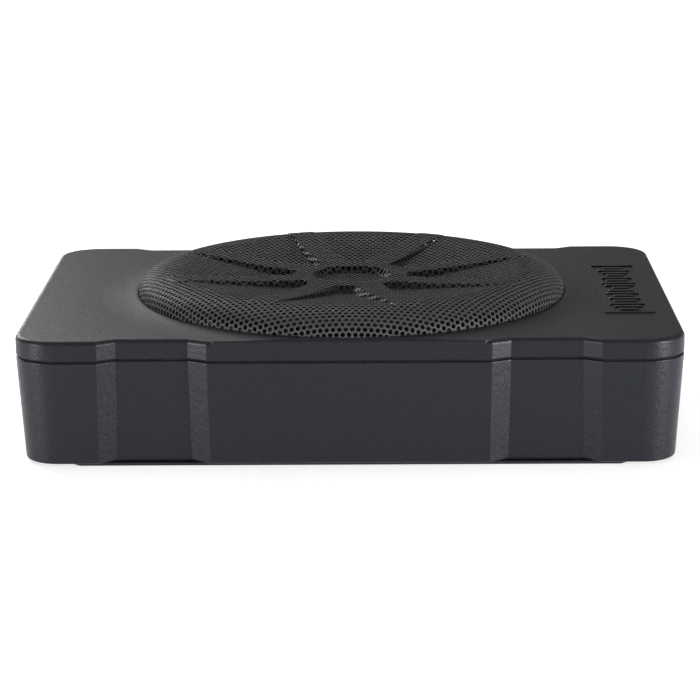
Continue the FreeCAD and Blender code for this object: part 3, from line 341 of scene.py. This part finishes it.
def make_materials():
    """One material for each slot of the record."""
    return {
        "housing_plastic": moulded("housing_plastic", (0.0062, 0.0066, 0.0092), 0.36, shine=0.25),
        # The cover's moulding is the housing's made lighter, more neutral and less shiny: painted light,
        # for the brighter light that falls on the cover's top.
        "cover_plastic": moulded("cover_plastic", (0.0085, 0.0087, 0.0100), 0.38, shine=0.18),
        "grille_steel": powder_coat("grille_steel", (0.044, 0.046, 0.047), 0.55, 0.16),
        # The gasket's rubber is black, darkened further below its own colour as painted shade in the seam
        # between tub and cover.
        "gasket_rubber": soft_rubber("gasket_rubber", (0.002, 0.002, 0.002), 0.95),
        "base_rubber": soft_rubber("base_rubber", (0.006, 0.0064, 0.0085), 0.55),
        "screw_steel": bare_metal("screw_steel", (0.10, 0.10, 0.11), 0.4, (900, 900, 900)),
        "basket_steel": powder_coat("basket_steel", (0.02, 0.02, 0.021), 0.45),
        "cone_paper": woven("cone_paper", (0.018, 0.018, 0.02), 0.85, 2200),
        "surround_rubber": soft_rubber("surround_rubber", (0.012, 0.012, 0.013), 0.7),
        "spider_cloth": woven("spider_cloth", (0.50, 0.37, 0.17), 0.85, 1400),
        "copper": wound_copper("copper"),
        "former_aluminium": bare_metal("former_aluminium", (0.40, 0.40, 0.41), 0.4, (900, 900, 40)),
        "zinc_steel": bare_metal("zinc_steel", (0.55, 0.55, 0.57), 0.35, (400, 400, 400)),
        "ferrite": powder_coat("ferrite", (0.05, 0.05, 0.053), 0.6),
        "circuit_board": circuit_board("circuit_board"),
        "chip_black": moulded("chip_black", (0.015, 0.015, 0.015), 0.55),
        "capacitor_sleeve": gloss_moulding("capacitor_sleeve", (0.02, 0.025, 0.05), 0.3),
        "heat_aluminium": bare_metal("heat_aluminium", (0.62, 0.62, 0.63), 0.4, (900, 30, 900)),
        "ferrite_core": powder_coat("ferrite_core", (0.07, 0.07, 0.07), 0.6),
        "partition_plastic": moulded("partition_plastic", (0.02, 0.02, 0.022), 0.55),
        "wire_red": gloss_moulding("wire_red", (0.30, 0.012, 0.012), 0.4),
        "panel_metal": powder_coat("panel_metal", (0.018, 0.018, 0.019), 0.42),
        "knob_plastic": moulded("knob_plastic", (0.018, 0.018, 0.019), 0.45, 0.6),
        "shaft_metal": bare_metal("shaft_metal", (0.58, 0.58, 0.59), 0.3, (30, 900, 900)),
        "socket_plastic": gloss_moulding("socket_plastic", (0.014, 0.014, 0.015), 0.38),
        "pin_brass": bare_metal("pin_brass", (0.75, 0.55, 0.24), 0.28),
        "jack_metal": bare_metal("jack_metal", (0.68, 0.68, 0.69), 0.22),
        "fuse_plastic": gloss_moulding("fuse_plastic", (0.42, 0.13, 0.012), 0.25),
        "lamp_lens": lens("lamp_lens", (0.5, 0.03, 0.02)),
    }


MATERIALS = make_materials()


def dress_cad_nodes():
    """Gives every CAD node its slot's material."""
    for row in frame["record"]["subparts"]:
        node = frame["nodes"][row["node"]]
        node.data.materials.clear()
        node.data.materials.append(MATERIALS[row["material_slot"]])


# ---- meshes ----------------------------------------------------------------------------------

def new_piece(name, vertices, faces, slot, body="enclosure", smooth=True):
    """A mesh piece with its slot's material, which rides on a body unless that is None."""
    mesh = bpy.data.meshes.new(name)
    mesh.from_pydata(vertices, [], faces)
    mesh.validate()
    if smooth:
        mesh.polygons.foreach_set("use_smooth", [True] * len(mesh.polygons))
    mesh.materials.append(MATERIALS[slot])
    piece = bpy.data.objects.new(name, mesh)
    bpy.context.scene.collection.objects.link(piece)
    if body is not None:
        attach(piece, body)
    return piece


# Shape of the grille's face, in metres above the cover's flat top.
RIM_RADIUS = GRILLE_HIGH.x
SHEET = 0.9 * MM
DOME_TOP = GRILLE_HIGH.z - COVER_TOP
DOME_EDGE = 94 * MM
DOME_POWER = 2.3
RIM_WAIST = 2.2 * MM
RIM_DEPTH = 2.0 * MM
SKIRT_LAP = 0.5 * MM
SKIRT_STEPS = 180
DISH_DROP = 4.4 * MM
DISH_STEPS, BEND_STEPS = 200, 300

# The pressed star: eight spokes between pockets that grow shallower outwards, and a sunk hub.
SPOKE_SECTOR = math.pi / 4
STAR_TURN = math.radians(-4.6)
STAR_REACH = 72 * MM
SPOKE_HALF = 7.5 * MM
SPOKE_PROUD = 0.6 * MM
SPOKE_EDGE = (-0.3 * MM, 0.9 * MM)
SPOKE_START = (60 * MM, 90 * MM)
SPOKE_END = (102.5 * MM, 105 * MM)
POCKET_APEX = 31.5 * MM
POCKET_CHORD = 95 * MM
POCKET_DEPTH = 4.2 * MM
WALL_SLOPE, END_SLOPE = 1.25, 0.9
HUB_RADIUS = 21.8 * MM
HUB_DEPTH = 3.4 * MM

# The punching: staggered round holes, one in each hexagonal cell of the flat sheet.
HOLE_PITCH = 3.4 * MM
HOLE_RADIUS = 1.3 * MM
HOLE_SIDES = 12
CORNER_TOLERANCE = 0.01 * MM
NORMAL_STEP = 0.15 * MM


def profile_table():
    """Arc length, radius and height along the grille's section, from its centre to under its rim."""
    dish = np.linspace(0, DOME_EDGE, DISH_STEPS)[:-1]
    dish_height = DOME_TOP - DISH_DROP * (1 - (dish / DOME_EDGE) ** 2)
    bend = np.linspace(0, math.pi / 2, BEND_STEPS)
    bend_radius = DOME_EDGE + (RIM_RADIUS - DOME_EDGE) * np.sin(bend)
    share = np.clip(1 - np.sin(bend) ** DOME_POWER, 0, 1)
    bend_height = RIM_WAIST + (DOME_TOP - RIM_WAIST) * share ** (1 / DOME_POWER)
    radius = np.concatenate([dish, bend_radius, [RIM_RADIUS]])
    height = np.concatenate([dish_height, bend_height, [-RIM_DEPTH]])
    length = np.concatenate([[0], np.cumsum(np.hypot(np.diff(radius), np.diff(height)))])
    return length, radius, height


PROFILE = profile_table()


def smooth_step(x, low, high):
    """0 below low, 1 above high, and a smooth rise between."""
    t = np.clip((x - low) / (high - low), 0, 1)
    return t * t * (3 - 2 * t)


def pressed_depth(x, y):
    """How far the star's pockets and hub sink below the dome, over plan points."""
    radius = np.hypot(x, y)
    half_sector = SPOKE_SECTOR / 2
    angle = (np.arctan2(y, x) - STAR_TURN + half_sector) % SPOKE_SECTOR - half_sector
    along = radius * np.cos(angle)
    across = np.abs(radius * np.sin(angle))
    from_spoke = along * math.sin(half_sector) - across * math.cos(half_sector) - SPOKE_HALF
    wall = np.minimum(from_spoke, along - POCKET_APEX) * WALL_SLOPE
    to_end = POCKET_CHORD - along
    floor = POCKET_DEPTH * to_end / (POCKET_CHORD - POCKET_APEX)
    pocket = np.minimum(np.minimum(wall, floor), to_end * END_SLOPE)
    hub = np.clip((HUB_RADIUS - radius) * WALL_SLOPE, 0, HUB_DEPTH)
    return np.maximum(pocket, hub)


def spoke_rise(x, y):
    """How far the spokes stand above the dome beyond the pockets' ends, over plan points."""
    radius = np.hypot(x, y)
    angle = (np.arctan2(y, x) - STAR_TURN) % SPOKE_SECTOR - SPOKE_SECTOR / 2
    across = np.abs(radius * np.sin(angle))
    along = radius * np.cos(angle)
    band = 1 - smooth_step(across - SPOKE_HALF, *SPOKE_EDGE)
    return SPOKE_PROUD * band * smooth_step(along, *SPOKE_START) * (1 - smooth_step(along, *SPOKE_END))


def grille_point(u, v):
    """Where the flat sheet's point (u, v) lies on the pressed grille's outer face."""
    length, radius, height = PROFILE
    run = np.hypot(u, v)
    turn = np.arctan2(v, u)
    r = np.interp(run, length, radius)
    z = np.interp(run, length, height)
    x, y = r * np.cos(turn), r * np.sin(turn)
    z = z - pressed_depth(x, y) + spoke_rise(x, y) - SPOKE_PROUD
    return np.stack([x, y, COVER_TOP + z], axis=-1)


def grille_normal(u, v):
    """Outward normal of the pressed face at (u, v)."""
    along = grille_point(u + NORMAL_STEP, v) - grille_point(u - NORMAL_STEP, v)
    across = grille_point(u, v + NORMAL_STEP) - grille_point(u, v - NORMAL_STEP)
    normal = np.cross(along, across)
    return normal / np.maximum(np.linalg.norm(normal, axis=-1, keepdims=True), 1e-12)


def lattice_cells():
    """Centres of the staggered holes on the flat sheet."""
    reach = PROFILE[0][-1]
    row_step = HOLE_PITCH * math.sqrt(3) / 2
    rows = int(reach / row_step) + 2
    columns = int(reach / HOLE_PITCH) + 2
    centres = []
    for j in range(-rows, rows + 1):
        u = (np.arange(-columns, columns + 1) + 0.5 * (j % 2)) * HOLE_PITCH
        centres.append(np.stack([u, np.full_like(u, j * row_step)], axis=-1))
    centres = np.concatenate(centres)
    return centres[np.hypot(centres[:, 0], centres[:, 1]) < reach - 0.3 * HOLE_PITCH]


def circle_points(centres, radius, sides):
    """Points of a circle round each centre on the flat sheet, from 30 degrees on."""
    turns = np.radians(30 + 360 / sides * np.arange(sides))
    return centres[:, None, :] + radius * np.stack([np.cos(turns), np.sin(turns)], axis=-1)


def perforated_piece(name, centres):
    """A closed perforated sheet over the given cells: each is a hexagon with a round hole."""
    corners = circle_points(centres, HOLE_PITCH / math.sqrt(3), 6).reshape(-1, 2)
    keys = np.round(corners / CORNER_TOLERANCE).astype(np.int64)
    _, first, shared = np.unique(keys, axis=0, return_index=True, return_inverse=True)
    corner_ids = shared.reshape(-1, 6)
    rings = circle_points(centres, HOLE_RADIUS, HOLE_SIDES).reshape(-1, 2)
    ring_ids = len(first) + np.arange(len(rings)).reshape(-1, HOLE_SIDES)

    # The sheet stops at the rim: points beyond it are drawn in.
    flat = np.concatenate([corners[first], rings])
    run = np.hypot(flat[:, 0], flat[:, 1])
    flat *= (np.minimum(run, PROFILE[0][-1]) / np.maximum(run, 1e-9))[:, None]

    # Between the hexagon's side and the hole's two nearest sides lie three triangles.
    faces = []
    for side in range(6):
        a, b = corner_ids[:, side], corner_ids[:, (side + 1) % 6]
        r0, r1, r2 = (ring_ids[:, (2 * side + n) % HOLE_SIDES] for n in range(3))
        faces += [np.stack(t, axis=-1) for t in ((a, b, r1), (a, r1, r0), (b, r2, r1))]
    top = np.concatenate(faces)

    # Edges that only one triangle uses get a wall down to the inner face.
    edges = np.concatenate([top[:, [0, 1]], top[:, [1, 2]], top[:, [2, 0]]])
    n = len(flat)
    codes = np.sort(edges, axis=1) @ np.array([n, 1])
    _, place, count = np.unique(codes, return_index=True, return_counts=True)
    start, end = edges[place[count == 1]].T
    walls = [np.stack([end, start, start + n], axis=-1), np.stack([end, start + n, end + n], axis=-1)]
    outer = grille_point(flat[:, 0], flat[:, 1])
    inner = outer - SHEET * grille_normal(flat[:, 0], flat[:, 1])
    triangles = np.concatenate([top, top[:, ::-1] + n, *walls])
    vertices = np.concatenate([outer, inner])
    return new_piece(name, vertices.tolist(), triangles.tolist(), "grille_steel", smooth=False)


def make_grille():
    """The perforated dome in three closed pieces, and the plain skirt that seats it."""
    centres = lattice_cells()
    star = np.hypot(centres[:, 0], centres[:, 1]) < STAR_REACH
    front = centres[:, 1] < 0
    middle = perforated_piece("grille_star", centres[star])
    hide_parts("grille")
    perforated_piece("grille_shoulder_front", centres[~star & front])
    perforated_piece("grille_shoulder_back", centres[~star & ~front])
    foot = GRILLE_LOW.z - COVER_TOP
    lap = SKIRT_LAP - RIM_DEPTH
    section = [(RIM_RADIUS - SHEET, lap), (RIM_RADIUS - SHEET, foot), (RIM_RADIUS, foot), (RIM_RADIUS, lap)]
    turned_piece("grille_skirt", section, COVER_TOP, SKIRT_STEPS, "grille_steel")


def turned_piece(name, section, level, steps, slot, body="enclosure"):
    """A closed ring turned about the upright axis, from a closed section of (radius, height)."""
    count = len(section)
    vertices = []
    for k in range(steps):
        turn = 2 * math.pi * k / steps
        vertices += [(r * math.cos(turn), r * math.sin(turn), level + z) for r, z in section]
    faces = []
    for k in range(steps):
        for i in range(count):
            a, b = k * count + i, k * count + (i + 1) % count
            c, d = (a + count) % len(vertices), (b + count) % len(vertices)
            faces.append((a, c, d, b))
    return new_piece(name, vertices, faces, slot, body)


# ---- driver ----------------------------------------------------------------------------------

# The suspensions are split into sectors round the ring.
SECTORS, SECTOR_STEPS = 16, 6
SURROUND_ROLL = (78.5 * MM, 93.5 * MM)
SURROUND_LIP, SURROUND_SHEET, SURROUND_STEPS = 3.5 * MM, 1.2 * MM, 16
SPIDER_WAVES = (25.0 * MM, 59.5 * MM)
SPIDER_WAVE_COUNT, SPIDER_HALF_SHEET, SPIDER_STEPS = 5, 0.4 * MM, 60

CONE_NECK, CONE_SHEET, CONE_LEDGE = 24.4 * MM, 1.1 * MM, 4 * MM
CONE_FOOT, CONE_CURVE, CONE_STEPS = 0.6 * MM, 0.94, 48
CONE_RINGS, CONE_RING_DEPTH, CONE_RING_SPAN = 6, 0.25 * MM, (0.3, 0.97)
CAP_SKIN, CAP_ANGLE, CAP_ANGLE_STEP, CAP_EYE = 0.9 * MM, 50, 5, 0.3 * MM
CONE_TURN_STEPS, CAP_TURN_STEPS = 120, 96

# A braided lead in millimetres: its ends at the cone's neck and at the terminal strip, as distance
# from the middle plane and Z, and the control points between them, as X, distance, Z.
LEAD_NECK, LEAD_STRIP = (5, 45.3), (6, 48)
LEAD_ROUTE = ((-36, 5, 43.6), (-46, 5, 43), (-54, 5.5, 46.5), (-61, 6, 49))
LEAD_RADIUS, LEAD_TUCK, LEAD_SIDES = 0.75 * MM, 0.3 * MM, 12


def arc_points(centre, radius, start, end, steps):
    """Points of an arc in the section plane, its angles in degrees."""
    turns = [math.radians(start + (end - start) * n / steps) for n in range(steps + 1)]
    return [(centre[0] + radius * math.cos(turn), centre[1] + radius * math.sin(turn)) for turn in turns]


def sector_pieces(name, section, level, slot):
    """A turned ring as closed sectors, baked in place and riding on no body. The CAD node of the same
    name is hidden."""
    count = len(section)
    caps = [tuple(range(count)), tuple(range(SECTOR_STEPS * count, (SECTOR_STEPS + 1) * count))[::-1]]
    walls = []
    for n in range(SECTOR_STEPS):
        for i in range(count):
            a, b = n * count + i, n * count + (i + 1) % count
            walls.append((a, a + count, b + count, b))
    for k in range(SECTORS):
        vertices = []
        for n in range(SECTOR_STEPS + 1):
            turn = 2 * math.pi * (k + n / SECTOR_STEPS) / SECTORS
            vertices += [(r * math.cos(turn), r * math.sin(turn), level + z) for r, z in section]
        piece = new_piece(f"{name}_{k + 1}", vertices, caps + walls, slot, None)
        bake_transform(piece)
        if k == 0:
            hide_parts(name)


def make_surround():
    """The half-roll of rubber between the cone and the basket."""
    low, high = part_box("surround")
    inner, outer = SURROUND_ROLL
    sheet = SURROUND_SHEET
    centre = ((inner + outer) / 2, 0)
    roll = (outer - inner) / 2
    flatten = (high.z - low.z) / roll
    under = arc_points(centre, roll - sheet, 180, 0, SURROUND_STEPS)
    over = [(x, max(z * flatten, sheet)) for x, z in arc_points(centre, roll, 0, 180, SURROUND_STEPS)]
    inner_lip, outer_lip = inner - SURROUND_LIP, outer + SURROUND_LIP
    section = [(inner_lip, 0), *under, (outer_lip, 0), (outer_lip, sheet), *over, (inner_lip, sheet)]
    sector_pieces("surround", section, low.z, "surround_rubber")


def make_spider():
    """The corrugated cloth disc that centres the coil."""
    low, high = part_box("spider")
    inner, waves_end = SPIDER_WAVES
    rise = (high.z - low.z) / 2 - SPIDER_HALF_SHEET
    line = []
    for n in range(SPIDER_STEPS + 1):
        share = n / SPIDER_STEPS
        swell = math.sin(math.pi * share) ** 0.5
        ripple = math.sin(2 * math.pi * SPIDER_WAVE_COUNT * share)
        line.append((inner + (waves_end - inner) * share, rise * swell * ripple))
    line.append((high.x, 0))
    section = [(r, z - SPIDER_HALF_SHEET) for r, z in line]
    section += [(r, z + SPIDER_HALF_SHEET) for r, z in reversed(line)]
    sector_pieces("spider", section, (low.z + high.z) / 2, "spider_cloth")


def make_cone():
    """The paper cone with its slight curve and pressed rings."""
    low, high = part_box("cone")
    outer = high.x - CONE_LEDGE
    neck_top = low.z + CONE_FOOT + CONE_SHEET
    top = []
    for n in range(CONE_STEPS + 1):
        share = n / CONE_STEPS
        ring = 0
        if CONE_RING_SPAN[0] < share < CONE_RING_SPAN[1]:
            ring = CONE_RING_DEPTH * max(0, math.sin(2 * math.pi * CONE_RINGS * share))
        level = neck_top + (high.z - neck_top) * share ** CONE_CURVE
        top.append((CONE_NECK + (outer - CONE_NECK) * share, level - ring))
    section = [(r, z - CONE_SHEET) for r, z in top]
    section += [(high.x, high.z - CONE_SHEET), (high.x, high.z)] + top[::-1]
    cone = turned_piece("cone_skin", section, 0, CONE_TURN_STEPS, "cone_paper", "diaphragm")
    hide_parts("cone")


def make_dust_cap():
    """The domed cap over the coil: part of a sphere, with an inner face a little smaller."""
    low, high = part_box("dust_cap")
    rim, crown = high.x, high.z - low.z
    edge = math.radians(CAP_ANGLE)
    dome = []
    for degrees in range(CAP_ANGLE, 0, -CAP_ANGLE_STEP):
        angle = math.radians(degrees)
        level = low.z + crown * (math.cos(angle) - math.cos(edge)) / (1 - math.cos(edge))
        dome.append((rim * math.sin(angle) / math.sin(edge), level))
    section = dome + [(CAP_EYE, high.z), (CAP_EYE, high.z - CAP_SKIN)]
    section += [(r - CAP_SKIN, z - CAP_SKIN / 2) for r, z in dome[::-1] if r > 2 * CAP_SKIN]
    section += [(rim - CAP_SKIN, low.z)]
    cap = turned_piece("dust_dome", section, 0, CAP_TURN_STEPS, "cone_paper", "diaphragm")
    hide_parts("dust_cap")


def smooth_route(name, route):
    """Points along a smooth curve through the neighbourhood of its control points."""
    curve = bpy.data.curves.new(name, "CURVE")
    curve.dimensions = "3D"
    spline = curve.splines.new("NURBS")
    spline.points.add(len(route) - 1)
    for point, spot in zip(spline.points, route):
        point.co = (*spot, 1)
    spline.order_u = 3
    spline.use_endpoint_u = True
    spline.resolution_u = 12
    holder = bpy.data.objects.new(name, curve)
    bpy.context.scene.collection.objects.link(holder)
    line = bpy.data.meshes.new_from_object(holder)
    spots = [vertex.co.copy() for vertex in line.vertices]
    bpy.data.objects.remove(holder)
    bpy.data.curves.remove(curve)
    bpy.data.meshes.remove(line)
    return spots


def skinned_rings(rings, sides):
    """Faces of a closed skin over equal rings of vertices, capped at both ends."""
    faces = [tuple(range(sides))[::-1], tuple(range((rings - 1) * sides, rings * sides))]
    for ring in range(rings - 1):
        for k in range(sides):
            a, b = ring * sides + k, ring * sides + (k + 1) % sides
            faces.append((a, b, b + sides, a + sides))
    return faces


def tube_piece(name, route, radius, slot):
    """A closed round tube along a smooth curve, as an unridden mesh."""
    spots = smooth_route(name, route)
    vertices = []
    for n, spot in enumerate(spots):
        ahead = (spots[min(n + 1, len(spots) - 1)] - spots[max(n - 1, 0)]).normalized()
        across = ahead.cross(Vector((0, 0, 1))).normalized()
        above = across.cross(ahead)
        for k in range(LEAD_SIDES):
            turn = 2 * math.pi * k / LEAD_SIDES
            vertices.append(tuple(spot + radius * (across * math.cos(turn) + above * math.sin(turn))))
    faces = [face[::-1] for face in skinned_rings(len(spots), LEAD_SIDES)]
    return new_piece(name, vertices, faces, slot, None)


def make_tinsel_leads():
    """The two braided leads that flex between the cone's neck and the terminal strip."""
    low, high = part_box("tinsel_leads")
    for number, side in enumerate((-1, 1), start=1):
        neck, strip = ((side * off * MM, z * MM) for off, z in (LEAD_NECK, LEAD_STRIP))
        between = [(x * MM, side * off * MM, z * MM) for x, off, z in LEAD_ROUTE]
        route = [(high.x - LEAD_TUCK, *neck), *between, (low.x + LEAD_TUCK, *strip)]
        lead = tube_piece(f"tinsel_lead_{number}", route, LEAD_RADIUS, "copper")
        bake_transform(lead)
        if number == 1:
            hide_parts("tinsel_leads")


# ---- badge and control panel -----------------------------------------------------------------

BADGE_LOW, BADGE_HIGH = 137.2 * MM, 164.5 * MM
BADGE_BARS = (10, 15, 19, 13, 17, 11, 18, 14, 9, 16, 19, 12, 17, 10, 14, 18, 11)
BADGE_PITCH, BADGE_BAR_HALF, BADGE_EDGE = 6.6 * MM, 1.7 * MM, 0.3 * MM
BADGE_SUNK, BADGE_PROUD = 0.5 * MM, 0.8 * MM

CONTROLS = ("gain", "crossover", "bass")
KNOB_FLUTES, STEPS_PER_FLUTE, FLUTE_DEPTH = 18, 6, 0.055
KNOB_DISH = 0.35 * MM
POINTER_HALF, POINTER_START, POINTER_END, POINTER_EDGE = 0.5 * MM, 1.2 * MM, 0.8, 0.1 * MM
POINTER_LEVELS = (-0.3 * MM, 0.3 * MM)

TICKS, TICK_SPACING, TICK_LAST = 11, 30, 240
TICK_RUN, TICK_HALF = (7.3 * MM, 8.8 * MM), 0.25 * MM
TICK_SUNK, TICK_PROUD = 0.1 * MM, 0.15 * MM

SCREW_SIDES, SCREW_CROWN, SCREW_EYE = 24, 0.4, 0.01 * MM
SCREW_HEAD, SCREW_HEAD_RADIUS, SCREW_SHANK = 1.6 * MM, 2.5 * MM, 1.25 * MM


def soft_block(x, y, z, edge):
    """Vertices and faces of a block with a bevelled top rim, between pairs of coordinates."""
    vertices = []
    for level, inset in ((z[0], 0), (z[1] - edge, 0), (z[1], edge)):
        vertices += [(x[0] + inset, y[0] + inset, level), (x[1] - inset, y[0] + inset, level),
                     (x[1] - inset, y[1] - inset, level), (x[0] + inset, y[1] - inset, level)]
    return vertices, skinned_rings(3, 4)


def joined(parts):
    """One mesh's vertices and faces from several."""
    vertices, faces = [], []
    for part_vertices, part_faces in parts:
        faces += [tuple(i + len(vertices) for i in face) for face in part_faces]
        vertices += part_vertices
    return vertices, faces


def make_badge():
    """Raised bars like a level meter's, in the frame on the cover."""
    parts = []
    middle = (BADGE_LOW + BADGE_HIGH) / 2
    levels = (COVER_TOP - BADGE_SUNK, COVER_TOP + BADGE_PROUD)
    for n, length in enumerate(BADGE_BARS):
        y = (n - (len(BADGE_BARS) - 1) / 2) * BADGE_PITCH
        half = length * MM / 2
        parts.append(soft_block((middle - half, middle + half), (y - BADGE_BAR_HALF, y + BADGE_BAR_HALF),
                                levels, BADGE_EDGE))
    new_piece("badge_bars", *joined(parts), "cover_plastic", smooth=False)


def make_knob(label):
    """A fluted knob with a raised pointer, on its own hinged body."""
    low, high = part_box(f"{label}_knob")
    centre_y, centre_z = (low.y + high.y) / 2, (low.z + high.z) / 2
    radius = (high.y - low.y) / 2
    count = KNOB_FLUTES * STEPS_PER_FLUTE

    # X, share of the radius and share of the flutes' depth, from the panel out to the dished face.
    rings = ((high.x, 0.97, 1.0), (high.x, 1.0, 1.0), (low.x + 0.9 * MM, 0.97, 1.0),
             (low.x + 0.2 * MM, 0.9, 0.4), (low.x, 0.84, 0.0), (low.x + KNOB_DISH, 0.72, 0.0))
    vertices = []
    for x, size, groove in rings:
        for k in range(count):
            turn = 2 * math.pi * k / count
            flute = (0.5 - 0.5 * math.cos(KNOB_FLUTES * turn)) ** 2
            r = radius * (size - FLUTE_DEPTH * groove * flute)
            vertices.append((x, centre_y + r * math.cos(turn), centre_z + r * math.sin(turn)))
    body = f"{label}_control"
    knob = new_piece(f"{label}_cap", vertices, skinned_rings(len(rings), count), "knob_plastic", body)
    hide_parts(f"{label}_knob")
    block, faces = soft_block((centre_y - POINTER_HALF, centre_y + POINTER_HALF),
                              (centre_z + POINTER_START, centre_z + POINTER_END * radius),
                              POINTER_LEVELS, POINTER_EDGE)
    pointer = [(low.x + KNOB_DISH - proud, y, z) for y, z, proud in block]
    new_piece(f"{label}_pointer", pointer, faces, "lamp_lens", body, smooth=False)


def make_ticks():
    """The scale of raised dashes round each knob."""
    panel_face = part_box("control_panel")[0].x
    near, far = TICK_RUN
    parts = []
    for label in CONTROLS:
        low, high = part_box(f"{label}_knob")
        centre = ((low.y + high.y) / 2, (low.z + high.z) / 2)
        for n in range(TICKS):
            turn = math.radians(TICK_LAST - TICK_SPACING * n)
            ahead = (math.cos(turn), math.sin(turn))
            tick = []
            for x in (panel_face + TICK_SUNK, panel_face - TICK_PROUD):
                for run, way in ((near, -1), (far, -1), (far, 1), (near, 1)):
                    side = way * TICK_HALF
                    tick.append((x, centre[0] + ahead[0] * run - ahead[1] * side,
                                 centre[1] + ahead[1] * run + ahead[0] * side))
            parts.append((tick, [face[::-1] for face in skinned_rings(2, 4)]))
    new_piece("panel_scales", *joined(parts), "shaft_metal", smooth=False)


def screw_mesh(length):
    """A screw that stands on Z with its head's underside at 0: domed head, hexagon socket, shank."""
    radius, head = SCREW_HEAD_RADIUS, SCREW_HEAD

    # Radius, height, and whether the ring is a hexagon.
    rings = ((SCREW_EYE, -length, False), (SCREW_SHANK, -length + 0.4 * MM, False), (SCREW_SHANK, 0, False),
             (radius, 0, False), (radius, head * (1 - SCREW_CROWN), False),
             (radius * 0.8, head * (1 - SCREW_CROWN * 0.3), False), (radius * 0.5, head, True),
             (radius * 0.49, head * 0.35, True), (SCREW_EYE, head * 0.3, True))
    vertices = []
    for r, z, hexagon in rings:
        for k in range(SCREW_SIDES):
            turn = 2 * math.pi * k / SCREW_SIDES
            reach = r
            if hexagon:
                reach = r * math.cos(math.pi / 6) / math.cos((turn % (math.pi / 3)) - math.pi / 6)
            vertices.append((reach * math.cos(turn), reach * math.sin(turn), z))
    return vertices, skinned_rings(len(rings), SCREW_SIDES)


def make_panel_screws():
    """The six screws of the control panel, heads outwards."""
    low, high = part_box("panel_screws")
    columns = (low.y + SCREW_HEAD_RADIUS, 0, high.y - SCREW_HEAD_RADIUS)
    rows = (low.z + SCREW_HEAD_RADIUS, high.z - SCREW_HEAD_RADIUS)
    vertices, faces = screw_mesh(high.x - low.x - SCREW_HEAD)
    outwards = [face[::-1] for face in faces]
    parts = []
    for y in columns:
        for z in rows:
            turned = [(low.x + SCREW_HEAD - up, y + across, z + along) for across, along, up in vertices]
            parts.append((turned, outwards))
    piece = new_piece("panel_screw_set", *joined(parts), "screw_steel", smooth=False)
    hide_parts("panel_screws")


make_camera()
make_stage()
dress_cad_nodes()
make_grille()
make_surround()
make_spider()
make_cone()
make_dust_cap()
make_tinsel_leads()
make_badge()
for control in CONTROLS:
    make_knob(control)
make_ticks()
make_panel_screws()
